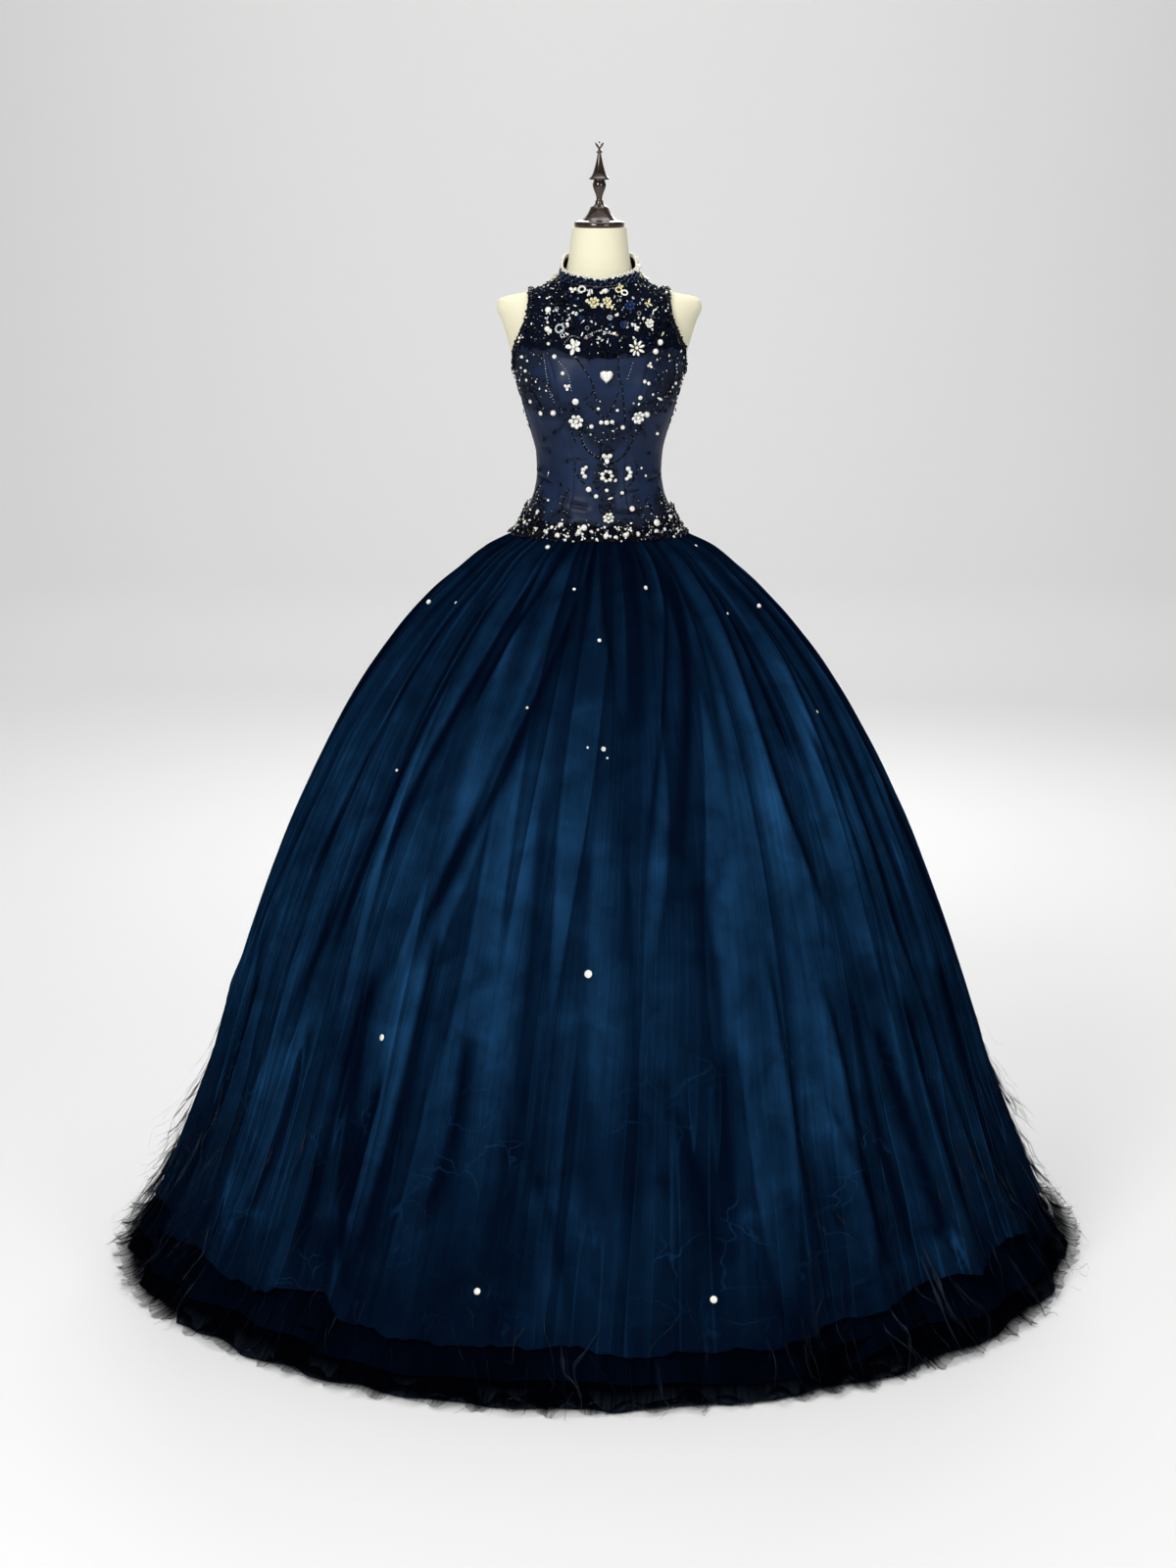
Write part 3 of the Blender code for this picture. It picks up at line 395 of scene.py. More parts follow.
def gather_rise(place, angle, height):
    """Small uneven pleats that leave the waist seam and die out down the skirt."""
    count = 2 * place + 0.45 * waves(angle, height, 3, (9, 31), (0.2, 0.8))
    small = 7 * place + 0.40 * waves(angle, height, 4, (20, 60), (0.2, 0.8))
    strength = 0.55 + 0.45 * ripple(angle, 5, 7, 40)
    reach = 0.9 + 0.35 * ripple(angle, 6, 5, 26)
    depth = smooth(height, WAIST_SEAM - 0.34 * reach, 1.225) * (1 - 0.55 * smooth(height, 1.24, 1.262))
    near = smooth(height, 1.15, 1.25)
    pleat = np.sin(2 * np.pi * count)
    pleat = pleat - 0.35 * np.abs(pleat) ** 3 * np.sign(pleat)
    return MM * (8.0 * strength * depth * pleat + 1.4 * near * np.sin(2 * np.pi * small))


def fine_rise(angle, height):
    """Narrow strings of cloth down the sides, soft swells and a crumpled lower third."""
    side = smooth(np.abs(np.abs(turn_between(angle, 0)) - 88), 62, 22)
    strings = waves(angle, height, 11, (130, 230), (0.1, 0.5), 18)
    swell = waves(angle, height, 12, (14, 40), (0.5, 2.0))
    crumple = waves(angle, height, 13, (30, 110), (4, 13), 22)
    low = smooth(height, 0.62, 0.22)
    where = 0.5 + 0.5 * waves(angle, height, 14, (6, 18), (1, 4))
    down = smooth(height, 1.25, 1.05)
    return MM * down * ((0.35 + 0.9 * side) * strings + 2.2 * swell + 1.3 * low * where * crumple)


sample = creases(*np.meshgrid(np.arange(-180, 180, 2.0), np.linspace(0.1, 1.2, 60)))[0] / MM
print("creases lift the cloth by", np.round([sample.min(), sample.max()], 1), "mm")

# %% [markdown]
# Cloth has two sides and a cut edge, so a grid of points becomes a thin closed shell. Solidify
# could thicken it. Filling it from arrays also gives its UV map, in metres, and painted values.

# %% Mesh makers
CLOTH_MAP = "cloth"


def fill_mesh(name, points, corners, starts, uv=None, values=None, sharp=False):
    mesh = bpy.data.meshes.new(name)
    mesh.vertices.add(len(points))
    mesh.vertices.foreach_set("co", np.asarray(points, np.float32).ravel())
    mesh.loops.add(len(corners))
    mesh.loops.foreach_set("vertex_index", np.asarray(corners, np.int32))
    mesh.polygons.add(len(starts))
    mesh.polygons.foreach_set("loop_start", np.asarray(starts, np.int32))
    mesh.update(calc_edges=True)
    if uv is not None:
        layer = mesh.uv_layers.new(name=CLOTH_MAP)
        layer.uv.foreach_set("vector", np.asarray(uv, np.float32).ravel())
    for label, painted in (values or {}).items():
        attribute = mesh.attributes.new(label, "FLOAT", "POINT")
        attribute.data.foreach_set("value", np.asarray(painted, np.float32).ravel())
    if not sharp:
        mesh.polygons.foreach_set("use_smooth", np.ones(len(starts), bool))
        mesh.set_sharp_from_angle(angle=math.radians(55))
    mesh.validate()
    thing = bpy.data.objects.new(name, mesh)
    bpy.context.scene.collection.objects.link(thing)
    return thing


def cloth(name, points, uv, thickness, closed=False, **values):
    """A thin shell whose outer side is the grid of points; the values are painted on it."""
    rows, columns = points.shape[:2]
    inner = points - grid_normals(points, closed) * thickness
    r, c = np.meshgrid(np.arange(rows - 1), np.arange(columns if closed else columns - 1),
                       indexing="ij")
    quad = np.stack([np.stack([r, c], -1), np.stack([r, c + 1], -1),
                     np.stack([r + 1, c + 1], -1), np.stack([r + 1, c], -1)], -2).reshape(-1, 4, 2)
    outer_ids = quad[..., 0] * columns + quad[..., 1] % columns
    uv_ids = quad[..., 0] * uv.shape[1] + quad[..., 1]
    flat_uv = uv.reshape(-1, 2)
    faces, maps = [outer_ids], [flat_uv[uv_ids]]
    if thickness:
        faces.append(outer_ids[:, ::-1] + rows * columns)
        maps.append(flat_uv[uv_ids[:, ::-1]])
        shift = rows * columns
        grid, uv_grid = (ids.reshape(rows - 1, -1, 4) for ids in (outer_ids, uv_ids))
        rims = [(np.s_[0, :], [0, 1]), (np.s_[-1, :], [2, 3])]
        if not closed:
            rims += [(np.s_[:, 0], [3, 0]), (np.s_[:, -1], [1, 2])]
        for strip, ends in rims:
            pair, uv_pair = grid[strip][:, ends], uv_grid[strip][:, ends]
            faces.append(np.stack([pair[:, 1], pair[:, 0], pair[:, 0] + shift, pair[:, 1] + shift], -1))
            maps.append(flat_uv[uv_pair[:, [1, 0, 0, 1]]])
        points = np.concatenate([points.reshape(-1, 3), inner.reshape(-1, 3)])
        values = {label: np.concatenate([painted.ravel()] * 2) for label, painted in values.items()}
    corners = np.concatenate(faces).ravel()
    starts = np.arange(0, len(corners), 4)
    return fill_mesh(name, points.reshape(-1, 3), corners, starts,
                     np.concatenate(maps).reshape(-1, 2), values)


def dress(thing, material, slot, *nodes, body="gown"):
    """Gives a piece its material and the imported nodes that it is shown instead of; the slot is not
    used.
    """
    thing.data.materials.append(material)
    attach(thing, body)
    if nodes:
        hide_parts(*nodes)
    return thing


print("cloth shells carry the UV map", CLOTH_MAP)

# %% [markdown]
# A material is a tree of nodes. Wiring them by hand in code is long-winded, so a few helpers add
# one node each and return its output.

# %% Node helpers
def feed(tree, sockets, values):
    """Sets each named input to a value, or links it to another node's output."""
    for key, value in values.items():
        if isinstance(value, bpy.types.NodeSocket):
            tree.links.new(value, sockets[key])
        else:
            sockets[key].default_value = value


def wire(tree, kind, values=None, **settings):
    made = tree.nodes.new("ShaderNode" + kind)
    for key, value in settings.items():
        setattr(made, key, value)
    feed(tree, made.inputs, values or {})
    return made


def maths(tree, operation, first, second=0.5, clamp=False):
    return wire(tree, "Math", {0: first, 1: second}, operation=operation, use_clamp=clamp).outputs[0]


def times(tree, *factors):
    product = factors[0]
    for factor in factors[1:]:
        product = maths(tree, "MULTIPLY", product, factor)
    return product


def plus(tree, first, second, clamp=False):
    return maths(tree, "ADD", first, second, clamp)


def scaled(tree, vector, factor):
    return wire(tree, "VectorMath", {0: vector, 1: factor}, operation="MULTIPLY").outputs[0]


def remap(tree, value, low, high, to_low=0.0, to_high=1.0):
    return wire(tree, "MapRange", {0: value, 1: low, 2: high, 3: to_low, 4: to_high}).outputs[0]


def noise(tree, vector, scale, detail=3.0, rough=0.6, twist=0.0):
    return wire(tree, "TexNoise", {"Vector": vector, "Scale": scale, "Detail": detail,
                                   "Roughness": rough, "Distortion": twist}).outputs[0]


def cell_edges(tree, vector, scale):
    return wire(tree, "TexVoronoi", {"Vector": vector, "Scale": scale},
                feature="DISTANCE_TO_EDGE").outputs["Distance"]


def new_group(name, inputs, outputs):
    tree = bpy.data.node_groups.new(name, "ShaderNodeTree")
    for label, kind, value in inputs:
        socket = tree.interface.new_socket(name=label, in_out="INPUT", socket_type="NodeSocket" + kind)
        if value is not None:
            socket.default_value = value
    for label in outputs:
        tree.interface.new_socket(name=label, in_out="OUTPUT", socket_type="NodeSocketFloat")
    return tree, tree.nodes.new("NodeGroupInput").outputs, tree.nodes.new("NodeGroupOutput").inputs


def contrasted(tree, value, contrast):
    """Stretches the middle of a noise's range, less the greater the contrast value."""
    low, high = maths(tree, "SUBTRACT", 0.5, contrast), plus(tree, 0.5, contrast)
    return remap(tree, value, low, high)


print("node helpers ready")

# %% [markdown]
# Each effect that cloths share is one node group. Organza catches light along its threads; where its
# layers overlap it gets a painted step from light to shade with a painted glint at the edge, and it
# gets thin painted highlights where it was crushed.

# %% Threads, overlaps and crinkle glints
def drawn_out(tree, given):
    """The cloth's map, squeezed across and stretched along the threads."""
    stretch = wire(tree, "CombineXYZ", {0: given["Across"], 1: given["Along"]}).outputs[0]
    return scaled(tree, given["Map"], stretch)


THREADS, given, result = new_group("Long threads", [
    ("Map", "Vector", None), ("Across", "Float", 90.0), ("Along", "Float", 1.6),
    ("Contrast", "Float", 0.25)], ["Value"])
raw = noise(THREADS, drawn_out(THREADS, given), 1.0, 4.0, 0.65, 0.3)
feed(THREADS, result, {"Value": contrasted(THREADS, raw, given["Contrast"])})

# The overlap steps are painted light and shade: the value rises to each step and drops at it, and the
# second output is a thin painted highlight just before the step.
OVERLAPS, given, result = new_group("Overlap light and shade", [
    ("Map", "Vector", None), ("Across", "Float", 9.0), ("Along", "Float", 0.5),
    ("Layers", "Float", 5.0)], ["Value", "Edge glint"])
level = times(OVERLAPS, noise(OVERLAPS, drawn_out(OVERLAPS, given), 1.0, 1.5, 0.5), given["Layers"])
saw = maths(OVERLAPS, "FRACT", level, 0.0)
feed(OVERLAPS, result, {
    "Value": times(OVERLAPS, saw, remap(OVERLAPS, saw, 1.0, 0.93)),
    "Edge glint": times(OVERLAPS, remap(OVERLAPS, saw, 0.86, 0.95), remap(OVERLAPS, saw, 1.0, 0.96))})

# Crinkles are thin painted highlights along crushed lines, in patches.
CRINKLE_GLINTS, given, result = new_group("Crinkle glints", [
    ("Map", "Vector", None), ("Position", "Vector", None), ("Cells", "Float", 17.0)], ["Value"])
twist = wire(CRINKLE_GLINTS, "TexNoise", {"Vector": given["Map"], "Scale": 9.0, "Detail": 3.0})
bend = scaled(CRINKLE_GLINTS, twist.outputs["Color"], (0.16, 0.16, 0.0))
bent = wire(CRINKLE_GLINTS, "VectorMath", {0: given["Map"], 1: bend}, operation="ADD").outputs[0]
line = remap(CRINKLE_GLINTS, cell_edges(CRINKLE_GLINTS, bent, given["Cells"]), 0.022, 0.004)
patch = remap(CRINKLE_GLINTS, noise(CRINKLE_GLINTS, given["Position"], 7.5, 3.0), 0.5, 0.66)
feed(CRINKLE_GLINTS, result, {"Value": times(CRINKLE_GLINTS, line, patch)})
print("organza's groups:", [group.name for group in (THREADS, OVERLAPS, CRINKLE_GLINTS)])

# %% [markdown]
# Soft clouds vary any colour. Satin has a fine weave, and lace is a net of tiny cells with round
# motifs made of rings.

# %% Clouds, weave and lace
CLOUDS, given, result = new_group("Soft clouds", [
    ("Position", "Vector", None), ("Scale", "Float", 4.0), ("Contrast", "Float", 0.2)], ["Value"])
raw = noise(CLOUDS, given["Position"], given["Scale"], 5.0, 0.6, 0.6)
feed(CLOUDS, result, {"Value": contrasted(CLOUDS, raw, given["Contrast"])})

WEAVE, given, result = new_group("Fine weave", [
    ("Map", "Vector", None), ("Threads", "Float", 900.0)], ["Height"])
parts = wire(WEAVE, "SeparateXYZ", {0: given["Map"]}).outputs
warp, weft = (maths(WEAVE, "SINE", times(WEAVE, parts[i], given["Threads"])) for i in (0, 1))
feed(WEAVE, result, {"Height": times(WEAVE, warp, weft)})

LACE, given, result = new_group("Lace net", [
    ("Map", "Vector", None), ("Mesh size", "Float", 300.0), ("Motif size", "Float", 34.0)],
    ["Threads", "Motif"])
blooms = wire(LACE, "TexVoronoi", {"Vector": given["Map"], "Scale": given["Motif size"]}).outputs
petals = wire(LACE, "TexVoronoi", {"Vector": given["Map"], "Scale": given["Motif size"],
                                   "Randomness": 0.6}, feature="SMOOTH_F1").outputs["Distance"]
wave = maths(LACE, "SINE", times(LACE, blooms["Distance"], 26.0))
feed(LACE, result, {
    "Threads": remap(LACE, cell_edges(LACE, given["Map"], given["Mesh size"]), 0.12, 0.04),
    "Motif": times(LACE, remap(LACE, wave, -0.2, 0.5), remap(LACE, petals, 0.55, 0.35))})
print("other groups:", [group.name for group in (CLOUDS, WEAVE, LACE)])

# %% [markdown]
# Every material is a Principled shader, fed by the cloth's map, its painted values and the groups.

# %% Material helpers
def new_material(name, base, roughness, metallic=0.0, **constants):
    material = bpy.data.materials.new(name)
    material.use_nodes = True
    shader = material.node_tree.nodes["Principled BSDF"]
    feed(material.node_tree, shader.inputs, {
        "Base Color": (*base, 1), "Roughness": roughness, "Metallic": metallic,
        **{label.replace("_", " "): value for label, value in constants.items()}})
    return material, material.node_tree, shader.inputs


def use(tree, shared, values):
    made = tree.nodes.new("ShaderNodeGroup")
    made.node_tree = shared
    feed(tree, made.inputs, values)
    return made.outputs


def mix_colours(tree, share, first, second):
    made = wire(tree, "Mix", data_type="RGBA")
    sockets = {s.name: s for s in made.inputs if s.enabled}
    first, second = (c if isinstance(c, bpy.types.NodeSocket) else (*c, 1) for c in (first, second))
    feed(tree, sockets, {"Factor": share, "A": first, "B": second})
    return next(s for s in made.outputs if s.enabled)


def painted(tree, label):
    return wire(tree, "Attribute", attribute_name=label).outputs["Fac"]


def cloth_map(tree):
    return wire(tree, "UVMap", uv_map=CLOTH_MAP).outputs[0]


def spot(tree):
    return wire(tree, "TexCoord").outputs["Object"]


def clouds(tree, scale, contrast):
    return use(tree, CLOUDS, {"Position": spot(tree), "Scale": scale, "Contrast": contrast})[0]


def bump(tree, inputs, height, strength, distance):
    made = wire(tree, "Bump", {"Height": height, "Strength": strength, "Distance": distance})
    tree.links.new(made.outputs[0], inputs["Normal"])


print("material helpers ready")

# %% [markdown]
# Organza is sheer and silky. A see-through shader alone looks like tinted glass, so the painted light
# and shade of its folds, painted glints on bright threads and cloudy patches are mixed between two
# colours, and it thins towards the hem.

# %% Blue and navy organza
def organza(name, dark, light, opacity):
    material, tree, inputs = new_material(name, dark, 0.6, Specular_IOR_Level=0.0)
    map_ = cloth_map(tree)
    side = painted(tree, "side")
    layers = use(tree, OVERLAPS, {"Map": map_, "Across": 8.0, "Along": 0.45, "Layers": 5.0})
    strings = use(tree, OVERLAPS, {"Map": map_, "Across": 24.0, "Along": 0.8, "Layers": 6.0})
    thin = use(tree, THREADS, {"Map": map_, "Across": 240.0, "Along": 2.6, "Contrast": 0.26})[0]
    cloud, wisps = clouds(tree, 2.6, 0.15), clouds(tree, 13.0, 0.22)
    # Painted light and shade: the overlap steps, fine streaks and, at the sides, bright strings.
    body = plus(tree, times(tree, layers["Value"], 0.4), times(tree, thin, 0.2))
    body = plus(tree, body, times(tree, strings["Value"], side, 0.35))
    body = plus(tree, body, 0.06)
    patchy = times(tree, remap(tree, cloud, 0, 1, 0.5, 1.18), remap(tree, wisps, 0, 1, 0.5, 1.42))
    # Each point's painted light and shade scales the brightness.
    lit = times(tree, body, patchy, painted(tree, "tone"))
    # Painted highlights: glints on the overlap edges and the side strings.
    glint = plus(tree, times(tree, layers["Edge glint"], 0.1), times(tree, strings["Edge glint"], side))
    glint = times(tree, glint, 0.36, remap(tree, cloud, 0.1, 0.8))
    # Painted crinkle highlights, where the painted mask allows them.
    crinkle_glint = use(tree, CRINKLE_GLINTS, {"Map": map_, "Position": spot(tree)})[0]
    glint = plus(tree, glint, times(tree, crinkle_glint, painted(tree, "crest")))
    lit = plus(tree, lit, glint, clamp=True)
    veil = times(tree, remap(tree, thin, 0, 1, opacity, 1.0), painted(tree, "cover"))
    feed(tree, inputs, {"Base Color": mix_colours(tree, lit, dark, light), "Alpha": veil})
    bump(tree, inputs, plus(tree, times(tree, thin, 0.25), layers["Value"]), 0.3, 2.0 * MM)
    return material


BLUE = organza("blue organza", (0.0004, 0.0018, 0.007), (0.0098, 0.052, 0.133), 0.88)
NAVY = organza("navy organza", (0.0002, 0.0006, 0.0019), (0.0009, 0.0038, 0.012), 0.92)
print("organzas:", BLUE.name, NAVY.name)

# %% [markdown]
# Net is black threads with air between them, with painted glints along a torn edge. The lace sewn
# on the satin is matt and darker than it, and is drawn where the panels are painted with it.

# %% Net, satin and lace
NET, tree, inputs = new_material("black net", (0.001, 0.0011, 0.002), 0.8,
                                 Specular_IOR_Level=0.0)
threads = use(tree, THREADS, {"Map": cloth_map(tree), "Across": 160.0, "Along": 9.0,
                              "Contrast": 0.2})[0]
# Painted glints: the threads turn pale where the edge value is painted.
pale = times(tree, painted(tree, "edge"), threads)
solid = maths(tree, "SUBTRACT", times(tree, painted(tree, "cover"), 1.5), 0.85)
feed(tree, inputs, {
    "Base Color": mix_colours(tree, pale, (0.0004, 0.0005, 0.0012), (0.022, 0.032, 0.05)),
    "Alpha": plus(tree, times(tree, threads, 0.9), solid, clamp=True)})

SATIN, tree, inputs = new_material("navy satin", (0.011, 0.021, 0.056), 0.46,
                                   Specular_IOR_Level=0.12)
map_ = cloth_map(tree)
lace = use(tree, LACE, {"Map": map_})
cover = maths(tree, "MAXIMUM", lace["Motif"], plus(tree, times(tree, lace["Threads"], 0.3), 0.42))
overlay = times(tree, painted(tree, "lace"), cover)
colour = mix_colours(tree, clouds(tree, 16.0, 0.22), (0.005, 0.0115, 0.034), (0.0115, 0.0245, 0.064))
# Painted shade in the creases and beside the seams.
colour = mix_colours(tree, painted(tree, "crease"), colour, (0.0008, 0.0018, 0.0065))
feed(tree, inputs, {"Base Color": mix_colours(tree, overlay, colour, (0.001, 0.0013, 0.003)),
                    "Roughness": remap(tree, overlay, 0, 1, 0.4, 0.85)})
weave = use(tree, WEAVE, {"Map": map_, "Threads": 2600.0})[0]
bump(tree, inputs, plus(tree, times(tree, weave, 0.05), overlay), 0.5, 0.5 * MM)

LACE_BLACK, tree, inputs = new_material("black lace", (0.002, 0.003, 0.006), 0.8,
                                        Specular_IOR_Level=0.02)
lace = use(tree, LACE, {"Map": cloth_map(tree), "Mesh size": 420.0, "Motif size": 46.0})
figure = maths(tree, "MAXIMUM", lace["Motif"], times(tree, lace["Threads"], 0.5))
feed(tree, inputs, {"Base Color": mix_colours(tree, figure, (0.0034, 0.0055, 0.015),
                                              (0.001, 0.0012, 0.0022))})
bump(tree, inputs, figure, 0.8, 0.8 * MM)
print("cloth materials:", len(bpy.data.materials))

# %% [markdown]
# The form wears cream jersey. Its cap is wood under a coat of lacquer, with the grain running up,
# and the pole is steel brushed in rings, which shows in its roughness.

# %% The form, cap, pole and zip
JERSEY, tree, inputs = new_material("cream jersey", (0.8, 0.755, 0.58), 0.75, Sheen_Weight=0.1,
                                    Specular_IOR_Level=0.2)
feed(tree, inputs, {"Base Color": mix_colours(tree, clouds(tree, 9.0, 0.35), (0.76, 0.71, 0.52),
                                              (0.81, 0.765, 0.575))})
bump(tree, inputs, noise(tree, spot(tree), 900.0, 2.0), 0.08, 0.3 * MM)

WOOD, tree, inputs = new_material("dark lacquered wood", (0.02, 0.011, 0.006), 0.16, Coat_Weight=0.5,
                                  Coat_Roughness=0.06)
grain = noise(tree, scaled(tree, spot(tree), (60.0, 60.0, 7.0)), 1.0, 4.0, 0.6, 0.8)
feed(tree, inputs, {"Base Color": mix_colours(tree, remap(tree, grain, 0.35, 0.7),
                                              (0.008, 0.004, 0.002), (0.045, 0.021, 0.008)),
                    "Roughness": remap(tree, grain, 0.3, 0.8, 0.14, 0.26)})

STEEL, tree, inputs = new_material("brushed steel", (0.5, 0.5, 0.5), 0.32, 1.0)
rings = noise(tree, scaled(tree, spot(tree), (8.0, 8.0, 500.0)), 1.0)
feed(tree, inputs, {"Roughness": remap(tree, rings, 0.3, 0.7, 0.26, 0.42)})

TAPE, tree, inputs = new_material("zip tape", (0.01, 0.016, 0.045), 0.85)
bump(tree, inputs, noise(tree, spot(tree), 1500.0, 1.0), 0.3, 0.2 * MM)
ENAMEL = new_material("navy enamel", (0.03, 0.04, 0.08), 0.3, 0.6, Coat_Weight=0.5)[0]
print("materials so far:", len(bpy.data.materials))

# %% [markdown]
# Beads are only a few millimetres across, so each finish is a plain shader. Pearls and stones have
# a coat for their glint.

# %% Bead finishes
JET = new_material("jet bead", (0.0015, 0.0016, 0.003), 0.24, Specular_IOR_Level=0.14)[0]
INK = new_material("ink blue bead", (0.006, 0.022, 0.085), 0.22, Specular_IOR_Level=0.2)[0]
SILVER = new_material("silver-lined bead", (0.42, 0.45, 0.48), 0.22, 0.75)[0]
PEARL = new_material("pearl", (0.8, 0.78, 0.7), 0.22, Coat_Weight=0.7, Coat_Roughness=0.08)[0]
STONE = new_material("clear cream stone", (0.86, 0.85, 0.78), 0.08, 0.25, Coat_Weight=1.0)[0]
GOLD = new_material("pale gold petal", (0.66, 0.6, 0.34), 0.25, 0.2, Coat_Weight=0.6)[0]
AMBER = new_material("amber bead", (0.34, 0.15, 0.07), 0.15, Coat_Weight=0.8)[0]
print("materials:", len(bpy.data.materials))

# %% [markdown]
# A limbless form is padded under tight jersey without folds, so it is one closed smooth solid,
# filled from rings of points.

# %% The padded torso
def pick_out(*things):
    """Selects only these, with the first of them active."""
    bpy.ops.object.select_all(action="DESELECT")
    for thing in things:
        thing.select_set(True)
    bpy.context.view_layer.objects.active = things[0]


def ring_solid(name, points):
    rows, columns = points.shape[:2]
    r, c = np.meshgrid(np.arange(rows - 1), np.arange(columns), indexing="ij")
    after = (c + 1) % columns
    quads = np.stack([r * columns + c, r * columns + after, (r + 1) * columns + after,
                      (r + 1) * columns + c], -1).reshape(-1)
    foot, head = np.arange(columns)[::-1], np.arange(columns) + (rows - 1) * columns
    starts = np.concatenate([np.arange(0, len(quads), 4), [len(quads), len(quads) + columns]])
    return fill_mesh(name, points.reshape(-1, 3), np.concatenate([quads, foot, head]), starts)


# Rings lie closest together on the shoulders, where the form turns fastest.
levels = np.concatenate([np.linspace(1.12, 1.64, 66), np.linspace(1.644, 1.7, 36),
                         np.linspace(1.704, 1.7785, 14)])
around = np.linspace(-180, 180, 112 // COARSE, endpoint=False)
torso = ring_solid("padded_torso", figure_point(around[None, :], levels[:, None]))
torso.data.polygons.foreach_set("use_smooth", np.ones(len(torso.data.polygons), bool))
dress(torso, JERSEY, "form_cream", "form_torso")
pick_out(torso)
bpy.ops.object.shade_smooth_by_angle(angle=math.radians(50))
print("torso faces:", len(torso.data.polygons))


# %% [markdown]
# The neck cap and its finial are turned on a lathe. Spinning an edge chain round the pole's line
# does the same, and doubles on the axis are merged afterwards.

# %% Neck cap and finial
def turned(name, profile):
    mesh = bpy.data.meshes.new(name)
    mesh.from_pydata([(r, 0, z) for z, r in profile], [(i, i + 1) for i in range(len(profile) - 1)], [])
    thing = bpy.data.objects.new(name, mesh)
    bpy.context.scene.collection.objects.link(thing)
    pick_out(thing)
    bpy.ops.object.mode_set(mode="EDIT")
    bpy.ops.mesh.select_all(action="SELECT")
    bpy.ops.mesh.spin(steps=48, angle=2 * math.pi, center=(0, 0, 0), axis=(0, 0, 1))
    bpy.ops.mesh.remove_doubles(threshold=0.01 * MM)
    bpy.ops.mesh.normals_make_consistent(inside=False)
    bpy.ops.object.mode_set(mode="OBJECT")
    bpy.ops.object.shade_smooth_by_angle(angle=math.radians(38))
    return thing


# Height and radius, up the outline.
CAP_PROFILE = [
    (1.7788, .0002), (1.7788, .0412), (1.7798, .0421), (1.783, .0425), (1.7862, .0421),
    (1.788, .0405), (1.789, .037), (1.7898, .031), (1.7908, .0288), (1.7925, .0276),
    (1.7938, .025), (1.7955, .0237), (1.7985, .0214), (1.802, .0192), (1.806, .0171),
    (1.8095, .0157), (1.8118, .0148), (1.8132, .0128), (1.8146, .0096), (1.816, .0079),
    (1.8176, .0071), (1.8194, .0068), (1.8212, .0069), (1.8228, .0062), (1.824, .005),
    (1.8252, .0047), (1.828, .005), (1.832, .006), (1.837, .008), (1.842, .01),
    (1.846, .011), (1.8495, .0113), (1.8525, .0106), (1.855, .0094), (1.8562, .0092),
    (1.8568, .0128), (1.8574, .0166), (1.8584, .0173), (1.8596, .017), (1.8606, .0158),
    (1.863, .0134), (1.867, .0112), (1.872, .0094), (1.879, .0074), (1.887, .0054),
    (1.894, .004), (1.899, .0032), (1.9012, .0031), (1.905, .0024), (1.909, .0014),
    (1.911, .0002),
]
finial = turned("neck_cap_and_finial", CAP_PROFILE)
print("finial faces:", len(finial.data.polygons))

# %% [markdown]
# A ring, two leaves and a bead finish the tip, squeezed to shape and joined to the cap. The packed
# stand and zip keep their own meshes and only get materials.

# %% Finial tip
tip = [finial]


def added(operator, **settings):
    operator(**settings)
    return bpy.context.object


tip.append(added(bpy.ops.mesh.primitive_torus_add, location=(0, 0, 1.9035),
                 rotation=(math.radians(12), 0, 0), major_radius=4.6 * MM, minor_radius=1.3 * MM,
                 major_segments=24, minor_segments=8))
for lean in (-1, 1):
    leaf = added(bpy.ops.mesh.primitive_uv_sphere_add, segments=14, ring_count=10, radius=1,
                 location=(lean * 3.4 * MM, 0, 1.913), rotation=(0, lean * math.radians(34), 0))
    leaf.scale = (1.9 * MM, 1.5 * MM, 6.4 * MM)
    tip.append(leaf)
tip.append(added(bpy.ops.mesh.primitive_uv_sphere_add, segments=12, ring_count=8,
                 radius=1.6 * MM, location=(0, 0, 1.919)))
for piece in tip[1:]:
    pick_out(piece)
    bpy.ops.object.transform_apply(location=True, rotation=True, scale=True)
    bpy.ops.object.shade_smooth()
pick_out(*tip)
bpy.ops.object.join()
dress(finial, WOOD, "wood_dark", "form_neck_cap")
for node, material in (("stand_base", WOOD), ("stand_pole", STEEL), ("zip_strip", TAPE),
                       ("zip_slider", ENAMEL), ("zip_pull", ENAMEL)):
    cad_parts[node].data.materials.clear()
    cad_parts[node].data.materials.append(material)
print("cap with its tip, faces:", len(finial.data.polygons))

# %% [markdown]
# The satin fits the form closely, with a few soft creases, and black lace is sewn on in patches.
# Both are listed one by one.

# %% Bodice creases and lace patches
EASE, SATIN_WALL, LACE_WALL = 3 * MM, 1.5 * MM, 1.2 * MM
HALF_GAP = 0.15 * MM
